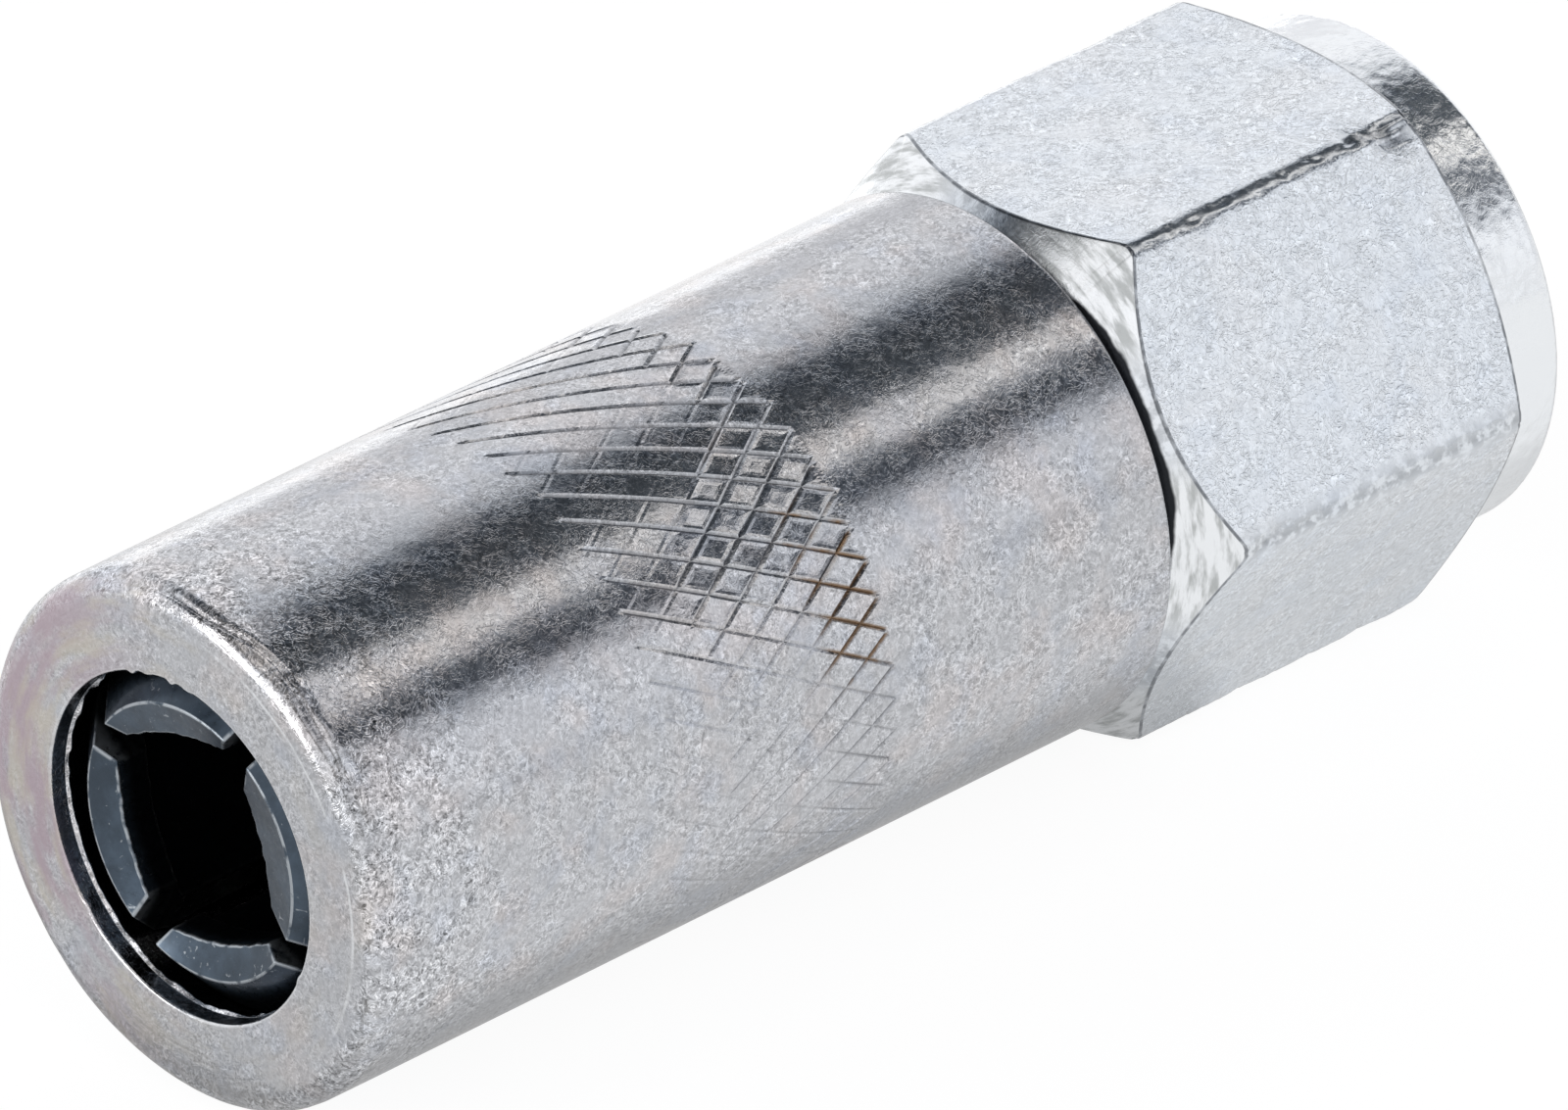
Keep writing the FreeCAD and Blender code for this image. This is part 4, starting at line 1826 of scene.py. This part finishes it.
@dataclass
class Cartridge:
    """Piston with its check valve, seals and washer. Stations and radii in millimetres."""

    rear_at: float = 15.603
    stem: float = 3.96
    groove: float = 2.75
    groove_along: Stretch = (19.803, 21.923)
    flange_at: float = 30.7
    flange: float = 5.85
    flange_thickness: float = 1.2
    boss: float = 3.6
    boss_end: float = 35.6
    recess: float = 2.82
    recess_at: float = 33.6
    hole: float = 1.0
    chamber: float = 1.9
    chamber_end: float = 22.603
    seat_bore: float = 2.6
    seat: float = 2.58
    seat_mouth: float = 1.7
    seat_along: Stretch = (15.803, 17.703)
    seat_cone: float = 0.7
    ring_bore: float = 2.8
    seal_along: Stretch = (19.92, 21.08)
    backup_along: Stretch = (21.2, 21.8)
    washer_bore: float = 3.75
    washer_along: Stretch = (31.9, 32.5)
    mouth_seal: float = 2.8
    mouth_seal_hole: float = 0.9
    mouth_seal_ends: Stretch = (35.8, 36.3)
    ball: float = 1.5
    ball_at: float = 18.167
    ball_columns: int = 72
    ball_rings: int = 36
    columns: int = 144

    def piston(self) -> list[Corner]:
        """Outline of the hollow piston.

        Returns:
            Its corners.
        """
        flange_front = self.flange_at + self.flange_thickness
        groove_start, groove_end = self.groove_along
        seat_front = self.seat_along[1]
        return [
            Corner(self.rear_at, self.seat_bore, 0.05),
            Corner(self.rear_at, self.stem, 0.18, 4),
            Corner(groove_start, self.stem, 0.04),
            Corner(groove_start, self.groove, 0.1),
            Corner(groove_end, self.groove, 0.1),
            Corner(groove_end, self.stem, 0.04),
            Corner(self.flange_at, self.stem, 0.12),
            Corner(self.flange_at, self.flange, 0.08),
            Corner(flange_front, self.flange, 0.08),
            Corner(flange_front, self.boss, 0.1),
            Corner(self.boss_end, self.boss, 0.18, 4),
            Corner(self.boss_end, self.recess, 0.08),
            Corner(self.recess_at, self.recess, 0.08),
            Corner(self.recess_at, self.hole, 0.06),
            Corner(self.chamber_end, self.hole, 0.06),
            Corner(self.chamber_end, self.chamber, 0.12),
            Corner(seat_front, self.chamber, 0.05),
            Corner(seat_front, self.seat_bore, 0.05),
        ]

    def valve_seat(self) -> list[Corner]:
        """Outline of the pressed-in seat ring.

        Returns:
            Its corners.
        """
        rear, front = self.seat_along
        return [
            Corner(rear, self.hole, 0.08),
            Corner(rear, self.seat, 0.12),
            Corner(front, self.seat, 0.06),
            Corner(front, self.seat_mouth, 0.05),
            Corner(front - self.seat_cone, self.hole, 0.04),
        ]

    def seal(self) -> list[Corner]:
        """Outline of the dished mouth seal.

        Returns:
            Its corners.
        """
        inner_end, outer_end = self.mouth_seal_ends
        return [
            Corner(self.recess_at, self.mouth_seal_hole, 0.08),
            Corner(self.recess_at, self.mouth_seal, 0.12),
            Corner(outer_end, self.mouth_seal, 0.2, 5),
            Corner(inner_end, self.mouth_seal_hole, 0.12, 4),
        ]

    def build(self) -> list[bpy.types.Object]:
        """Build the piston and what it carries.

        Returns:
            The finished pieces.
        """
        seal = ring_outline(self.seal_along, self.ring_bore, self.stem, 0.42, 6)
        backup = ring_outline(self.backup_along, self.ring_bore, self.stem, 0.1, 3)
        washer = ring_outline(self.washer_along, self.washer_bore, self.flange, 0.1, 3)
        turned = (
            ("piston_body", "piston", self.piston(), MACHINED_STEEL, Slot.MACHINED),
            ("valve_seat_ring", "valve_seat", self.valve_seat(), MACHINED_STEEL, Slot.MACHINED),
            ("piston_seal_ring", "piston_o_ring", seal, RUBBER, Slot.RUBBER),
            ("backup_ring", "piston_backup_ring", backup, PLASTIC, Slot.PLASTIC),
            ("heel_washer", "thrust_washer", washer, MACHINED_STEEL, Slot.MACHINED),
            ("mouth_seal", "nipple_seal", self.seal(), RUBBER, Slot.RUBBER),
        )
        made = []
        for name, node, corners, finish, slot in turned:
            piece = turned_object(name, corners, self.columns, finish)
            made.append(publish(piece, node, Body.PISTON.value))
        made.append(self.check_ball())
        return made

    def check_ball(self) -> bpy.types.Object:
        """Build the ball from rings between its two poles.

        Returns:
            The finished ball.
        """
        shell = Shell()
        angles = even_angles(self.ball_columns)
        rings = []
        for latitude in np.radians(np.linspace(-87.5, 87.5, self.ball_rings)):
            station = self.ball_at + self.ball * math.sin(latitude)
            rings.append(shell.ring(station, self.ball * math.cos(latitude), angles))
        shell.skin(rings, looped=False)
        for side, ring in ((-1, rings[0][::-1]), (1, rings[-1])):
            pole = shell.ring(self.ball_at + side * self.ball, 0.0, np.zeros(1))[0]
            for here, after in zip(ring, np.roll(ring, -1)):
                shell.faces.append((here, after, pole))
        piece = shell.object("valve_ball", BALL_STEEL)
        return publish(piece, "check_ball", Body.CHECK_BALL.value)


@dataclass
class Springs:
    """Main spring in the sleeve and the small spring behind the check ball."""

    main_start: float = 23.7
    main_end: float = 30.7
    main_radius: float = 4.98
    main_wire: float = 0.9
    check_start: float = 19.232
    check_end: float = 22.603
    check_radius: float = 1.15
    check_wire: float = 0.3
    turns: float = 4.5
    travel: float = 2.5
    lift: float = 0.8

    def wind(self, name: str, tool: Tool) -> bpy.types.Object:
        """Run a coil tool on an empty mesh.

        Args:
            name: Name of the spring.
            tool: The coil tool.

        Returns:
            The spring.
        """
        return tool.apply(linked(name, bpy.data.meshes.new(name)), WIRE_STEEL)

    def build(self) -> list[bpy.types.Object]:
        """Build both springs, the main one on the housing and the small one on the piston.

        Returns:
            The finished pieces.
        """
        main = self.wind("main_coil", coil_tool(
            self.main_start, self.main_end, self.main_radius, self.main_wire, self.turns))
        publish(main, "main_spring", Body.HOUSING.value)
        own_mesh(main)
        small = self.wind("check_coil", coil_tool(
            self.check_start, self.check_end, self.check_radius, self.check_wire, self.turns))
        publish(small, "check_spring", Body.PISTON.value)
        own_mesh(small)
        return [main, small]


@dataclass
class JawSet:
    """Four hardened jaws and the split wire ring that holds their heels together.

    Attributes:
        slot: Width of the slots between jaws.
        turn: Angle of the first jaw's middle, in degrees.
        grips: Radius of each jaw's gripping edge.
        bevel: Rounding along the slots.
        columns: Columns of a jaw between its rounded edges.
        ring_split: Half width of the wire ring's gap.
    """

    count: int = 4
    slot: float = 0.9
    turn: float = 73.3
    grips: tuple[float, ...] = (2.88, 2.55, 2.88, 2.84)
    grip_along: Stretch = (40.9, 41.95)
    tip: float = 3.86
    tip_at: float = 42.24
    cone_foot: float = 5.189
    cone_foot_at: float = 40.961
    crown: float = 5.429
    crown_at: float = 40.3
    shank: float = 5.25
    shank_along: Stretch = (34.8, 39.1)
    heel: float = 5.8
    heel_along: Stretch = (32.55, 34.25)
    groove: float = 5.2
    groove_along: Stretch = (33.15, 33.95)
    hollow: float = 4.0
    hollow_end: float = 40.5
    bevel: float = 0.06
    columns: int = 22
    ring_along: Stretch = (33.3, 33.8)
    ring_inner: float = 5.38
    ring_outer: float = 5.88
    ring_split: float = 0.6
    ring_columns: int = 120

    def outline(self, grip: float) -> list[Corner]:
        """Outline of a jaw in the plane through the axis.

        Args:
            grip: Radius of its gripping edge.

        Returns:
            The outline.
        """
        heel_rear, heel_front = self.heel_along
        groove_rear, groove_front = self.groove_along
        shank_rear, shank_front = self.shank_along
        grip_rear, grip_front = self.grip_along
        return [
            Corner(self.tip_at, self.tip, 0.08),
            Corner(self.cone_foot_at, self.cone_foot, 0.12),
            Corner(self.crown_at, self.crown, 0.15),
            Corner(shank_front, self.shank, 0.2),
            Corner(shank_rear, self.shank, 0.2),
            Corner(heel_front, self.heel, 0.1),
            Corner(groove_front, self.heel, 0.05),
            Corner(groove_front, self.groove, 0.06),
            Corner(groove_rear, self.groove, 0.06),
            Corner(groove_rear, self.heel, 0.05),
            Corner(heel_rear, self.heel, 0.12),
            Corner(heel_rear, self.hollow, 0.12),
            Corner(self.hollow_end, self.hollow, 0.15),
            Corner(grip_rear, grip, 0.1),
            Corner(grip_front, grip, 0.08, 4),
        ]

    def sector(self, name: str, outline: np.ndarray, centre: float, limit: SweepRule,
               columns: int, finish: Finish, widen: WidenRule) -> bpy.types.Object:
        """Sweep an outline about the axis between two flat ends with eased edges.

        Args:
            name: Name of the piece.
            outline: Rows of station, radius and edge weight.
            centre: Angle of the piece's middle.
            limit: Half sweep for given radii, at a distance from the flat end.
            columns: Columns between the eased edges.
            finish: Its finish.
            widen: Radii for given radii and angles from the middle.

        Returns:
            The object.
        """
        here = outline[:, :2]
        chord = np.roll(here, -1, axis=0) - np.roll(here, 1, axis=0)
        normal = np.stack((chord[:, 1], -chord[:, 0]), axis=1)
        normal /= np.linalg.norm(normal, axis=1)[:, None]
        area = np.sum(here[:, 0] * np.roll(here[:, 1], -1) - np.roll(here[:, 0], -1) * here[:, 1])
        inward = -normal * (1 if area > 0 else -1)
        shell = Shell()
        rings = []
        for depth, share, side, edge in self.columns_of(columns):
            inset = here + inward * share
            sweep = limit(inset[:, 1], depth) * side
            radius = widen(inset[:, 1], sweep)
            weight = np.maximum(outline[:, 2], edge)
            rings.append(shell.ring(inset[:, 0], radius, sweep + centre, edge=weight))
        shell.skin(rings, looped=False)
        for ring in (rings[0][::-1], rings[-1]):
            shell.flat.add(len(shell.faces))
            shell.faces.append(tuple(ring))
        return shell.object(name, finish)

    def columns_of(self, columns: int) -> list[tuple[float, float, float, float]]:
        """Spread a piece's columns, close together at its two eased ends.

        Args:
            columns: Columns between the eased ends.

        Returns:
            Distance from the flat end, inset, share of the sweep and edge weight by column.
        """
        leans = np.radians((0.0, 30.0, 60.0, 90.0))
        easing = [(self.bevel * (1 - math.cos(lean)), self.bevel * (1 - math.sin(lean))) for lean in leans]
        first = [(depth, inset, -1.0, 1.0) for depth, inset in easing]
        last = [(depth, inset, 1.0, 1.0) for depth, inset in easing[::-1]]
        inner = [(self.bevel, 0.0, float(share), 0.0) for share in np.linspace(-0.97, 0.97, columns)]
        return first + inner + last

    def half_sweep(self, radius: np.ndarray, depth: float) -> np.ndarray:
        """Half sweep of a jaw whose sides are parallel to the slots."""
        return math.pi / self.count - np.arcsin((self.slot / 2 + depth) / radius)

    def widened(self, grip: float) -> WidenRule:
        """Draw the grip edge nearly straight across the jaw, a little uneven.

        Args:
            grip: Radius of the gripping edge.

        Returns:
            The rule for the radii.
        """

        def rule(radius: np.ndarray, angle: np.ndarray) -> np.ndarray:
            """Draw points outwards beside the jaw's middle.

            Args:
                radius: Their radii.
                angle: Their angles from the middle.

            Returns:
                The new radii.
            """
            uneven = np.array([noise.noise(Vector((a * 9.0, grip * 31.0, 2.2))) for a in angle])
            straight = grip / np.cos(angle) ** 0.6 - grip + 0.07 * uneven
            share = np.clip((self.tip - radius) / (self.tip - grip), 0, 1)
            return radius + straight * share

        return rule

    def build(self) -> list[bpy.types.Object]:
        """Build the jaws and their ring.

        Returns:
            The finished pieces.
        """
        made = []
        for index, grip in enumerate(self.grips):
            outline = eased(self.outline(grip))
            centre = math.radians(self.turn + index * 360 / self.count)
            name = f"jaw_{index + 1}"
            piece = self.sector(
                f"{name}_hardened", outline, centre, self.half_sweep, self.columns, JAW_STEEL,
                self.widened(grip),
            )
            made.append(publish(piece, name, name))
        made.append(self.wire_ring())
        return made

    def wire_ring(self) -> bpy.types.Object:
        """Build the split ring in the heels' groove.

        Returns:
            The finished ring.
        """
        outline = eased(ring_outline(self.ring_along, self.ring_inner, self.ring_outer, 0.16, 5))
        split = math.radians(self.turn + 180 / self.count)

        def limit(radius: np.ndarray, depth: float) -> np.ndarray:
            """Half sweep of the ring, left open by its split."""
            return math.pi - np.arcsin((self.ring_split + depth) / radius)

        piece = self.sector(
            "heel_ring", outline, split + math.pi, limit, self.ring_columns, WIRE_STEEL,
            lambda radius, angle: radius,
        )
        return publish(piece, "jaw_ring", Body.PISTON.value)


@dataclass
class Studio:
    """Pale floor, soft surroundings, softboxes and the camera.

    Attributes:
        bands: Colours round the axis, each with its angle in degrees.
        front_light: Colour of the surroundings ahead of the nose.
        nose_screen: Colour of the dark screen that the nose's rounding shows.
        middle: Place along X of the coupler's middle, in millimetres.
        aim: Point in millimetres that the camera looks at.
    """

    bands: tuple[tuple[float, Colour], ...] = (
        (-180, (0.87, 0.875, 0.89)),
        (-20, (0.95, 0.95, 0.97)),
        (18, (0.92, 0.92, 0.94)),
        (32, (1.14, 1.14, 1.15)),
        (50, (1.10, 1.10, 1.12)),
        (63, (0.85, 0.87, 0.9)),
        (74, (0.16, 0.18, 0.21)),
        (78, (0.045, 0.055, 0.07)),
        (88, (0.08, 0.09, 0.10)),
        (103, (0.11, 0.125, 0.145)),
        (107, (1.10, 1.06, 1.02)),
        (116, (1.25, 1.21, 1.17)),
        (121, (0.4, 0.42, 0.46)),
        (125, (0.10, 0.115, 0.135)),
        (134, (0.08, 0.09, 0.11)),
        (141, (0.62, 0.64, 0.68)),
        (149, (0.88, 0.89, 0.92)),
        (180, (0.87, 0.875, 0.89)),
    )
    front_light: Colour = (1.15, 1.15, 1.16)
    nose_screen: Colour = (0.19, 0.18, 0.165)
    floor_at: float = -7.51
    floor_side: float = 6000.0
    middle: float = -21.3
    aim: tuple[float, float, float] = (-28.664, -7.995, 6.276)
    azimuth: float = -42.960
    elevation: float = 30.151
    roll: float = -0.981
    distance: float = 1117.1
    lens: float = 1000.0

    def surroundings(self) -> None:
        """White surroundings, with two soft dark screens that the metal shows as bands."""
        world = bpy.data.worlds.new("studio")
        bpy.context.scene.world = world
        world.use_nodes = True
        world.node_tree.nodes.clear()
        graph = Graph(world.node_tree)
        x, y, z = graph.split(graph.value("ShaderNodeTexCoord", output="Generated"))
        around = graph.math("ARCTAN2", z, y) / TURN + 0.5 + graph.ramp(x, 0.5, 0.05, 0.0, 0.065)
        ramp = graph.add("ShaderNodeValToRGB", {0: around})
        ramp.color_ramp.interpolation = "EASE"
        elements = ramp.color_ramp.elements
        while len(elements) > 1:
            elements.remove(elements[-1])
        for index, (angle, colour) in enumerate(self.bands):
            spot = angle / 360 + 0.5
            element = elements[0] if index == 0 else elements.new(spot)
            element.position = spot
            element.color = (*colour, 1.0)
        screens = graph.ramp(x + graph.ramp(y, 0.1, 0.35, 0.0, 0.17), -0.8, -0.42)
        shown = graph.tint(screens, self.front_light, Field(graph, ramp.outputs[0]))
        ring = graph.ramp(x, -0.66, -0.58) * graph.ramp(x, -0.34, -0.42)
        ring = ring * graph.ramp(z, 0.15, 0.4) * graph.ramp(y, 0.55, 0.3)
        shown = graph.tint(ring * 0.7, shown, self.nose_screen)
        camera = graph.value("ShaderNodeLightPath", output="Is Camera Ray")
        seen = graph.tint(camera, shown, (1.0, 1.0, 1.0))
        back = graph.add("ShaderNodeBackground", {"Color": seen, "Strength": 1.0})
        graph.add("ShaderNodeOutputWorld", {"Surface": back.outputs[0]})

    def floor(self) -> bpy.types.Object:
        """Build the pale floor, which keeps a soft shadow; in reflections its glow is painted darker under
        the coupler and brighter behind it.

        Returns:
            The floor.
        """
        half, level = self.floor_side / 2 * MM, self.floor_at * MM
        mesh = bpy.data.meshes.new("floor")
        corners = [(-half, -half, level), (half, -half, level), (half, half, level), (-half, half, level)]
        mesh.from_pydata(corners, [], [(0, 1, 2, 3)])
        material = bpy.data.materials.new("pale_floor")
        material.use_nodes = True
        material.node_tree.nodes.clear()
        graph = Graph(material.node_tree)
        path = graph.add("ShaderNodeLightPath")
        rays = ("Is Camera Ray", "Is Glossy Ray", "Is Transmission Ray")
        camera, glossy, through = (Field(graph, path.outputs[name]) for name in rays)
        direct = graph.math("MAXIMUM", camera * 0.85, graph.math("MAXIMUM", glossy * 0.8, through * 0.85))
        # Glow seen in reflections: a painted shadow under and ahead of the coupler, and painted light
        # further behind it.
        along, behind, _ = graph.split(graph.value("ShaderNodeTexCoord", output="Object"))
        ahead = graph.ramp(along, -0.0430, -0.0448)
        under = graph.ramp(behind, -0.010, -0.004, 1.12, 0.55)
        under = graph.math("MAXIMUM", under, graph.ramp(along, -0.0135, -0.009, 0.0, 0.84))
        under = graph.math("MAXIMUM", under, ahead * 0.93)
        rise = graph.ramp(behind, 0.011, 0.024, 0.0, 0.42) + graph.ramp(behind, 0.04, 0.10, 0.0, 0.6)
        level = under + rise * (1.0 - ahead * 0.7)
        level = level * glossy + (1.0 - glossy) * 1.08
        paint = graph.add("ShaderNodeBsdfDiffuse", {"Color": (0.93, 0.93, 0.93, 1.0)})
        glow = graph.add("ShaderNodeEmission", {"Color": (1.0, 1.0, 1.0, 1.0), "Strength": level})
        mixed = graph.add("ShaderNodeMixShader", {0: direct, 1: paint.outputs[0], 2: glow.outputs[0]})
        graph.add("ShaderNodeOutputMaterial", {"Surface": mixed.outputs[0]})
        mesh.materials.append(material)
        made = linked("floor", mesh)
        return made

    def softbox(self, name: str, way: Sequence[float], distance: float, side: float,
                level: float) -> bpy.types.Object:
        """Add a square softbox that faces the coupler.

        Args:
            name: Name of the lamp.
            way: Direction from the coupler to the lamp.
            distance: Its distance in millimetres.
            side: Its side in millimetres.
            level: Radiance of its face.

        Returns:
            The lamp.
        """
        data = bpy.data.lights.new(name, "AREA")
        data.shape = "SQUARE"
        data.size = side * MM
        data.energy = level * math.pi * (side * MM) ** 2
        lamp = linked(name, data)
        direction = Vector(way).normalized()
        lamp.location = Vector((self.middle * MM, 0, 0)) + direction * distance * MM
        lamp.rotation_euler = direction.to_track_quat("Z", "Y").to_euler()
        lamp.visible_camera = False
        return lamp

    def camera(self) -> bpy.types.Object:
        """Add the camera at the photograph's angle.

        Returns:
            The camera.
        """
        azimuth, elevation, roll = (math.radians(v) for v in (self.azimuth, self.elevation, self.roll))
        flat = math.cos(elevation)
        back = Vector((math.sin(azimuth) * flat, -math.cos(azimuth) * flat, math.sin(elevation)))
        level_right = Vector((math.cos(azimuth), math.sin(azimuth), 0))
        level_up = back.cross(level_right)
        right = level_right * math.cos(roll) + level_up * math.sin(roll)
        up = level_up * math.cos(roll) - level_right * math.sin(roll)
        data = bpy.data.cameras.new("camera")
        data.lens = self.lens
        data.sensor_width = 36.0
        data.clip_start, data.clip_end = 0.01, 20.0
        made = linked("camera", data)
        place = Matrix.Translation(Vector(self.aim) * MM + back * self.distance * MM)
        made.matrix_world = place @ Matrix((right, up, back)).transposed().to_4x4()
        bpy.context.scene.camera = made
        return made

    def build(self) -> None:
        """Set up the whole studio."""
        self.surroundings()
        self.floor()
        self.softbox("nose_softbox", (-0.95, 0.31, 0.15), 400, 220, 3.0)
        self.softbox("front_softbox", (0.5, -0.8, 0.3), 500, 220, 0.2)
        self.camera()
        bpy.context.scene.view_settings.view_transform = "Standard"
        log.info("studio and camera are set")


def write_sizes(pieces: Iterable[bpy.types.Object]) -> None:
    """Log how many pieces were built.

    Args:
        pieces: The finished pieces.
    """
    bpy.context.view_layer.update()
    log.info("%d pieces, boxes written", len(list(pieces)))


def main() -> None:
    """Build the coupler piece by piece, then the studio."""
    logging.basicConfig(level=logging.INFO, format="%(name)s: %(message)s")
    pieces = [Sleeve().build(), HexBody().build()]
    for group in (Cartridge(), Springs(), JawSet()):
        pieces.extend(group.build())
    Studio().build()
    write_sizes(pieces)


if __name__ == "__main__":
    main()
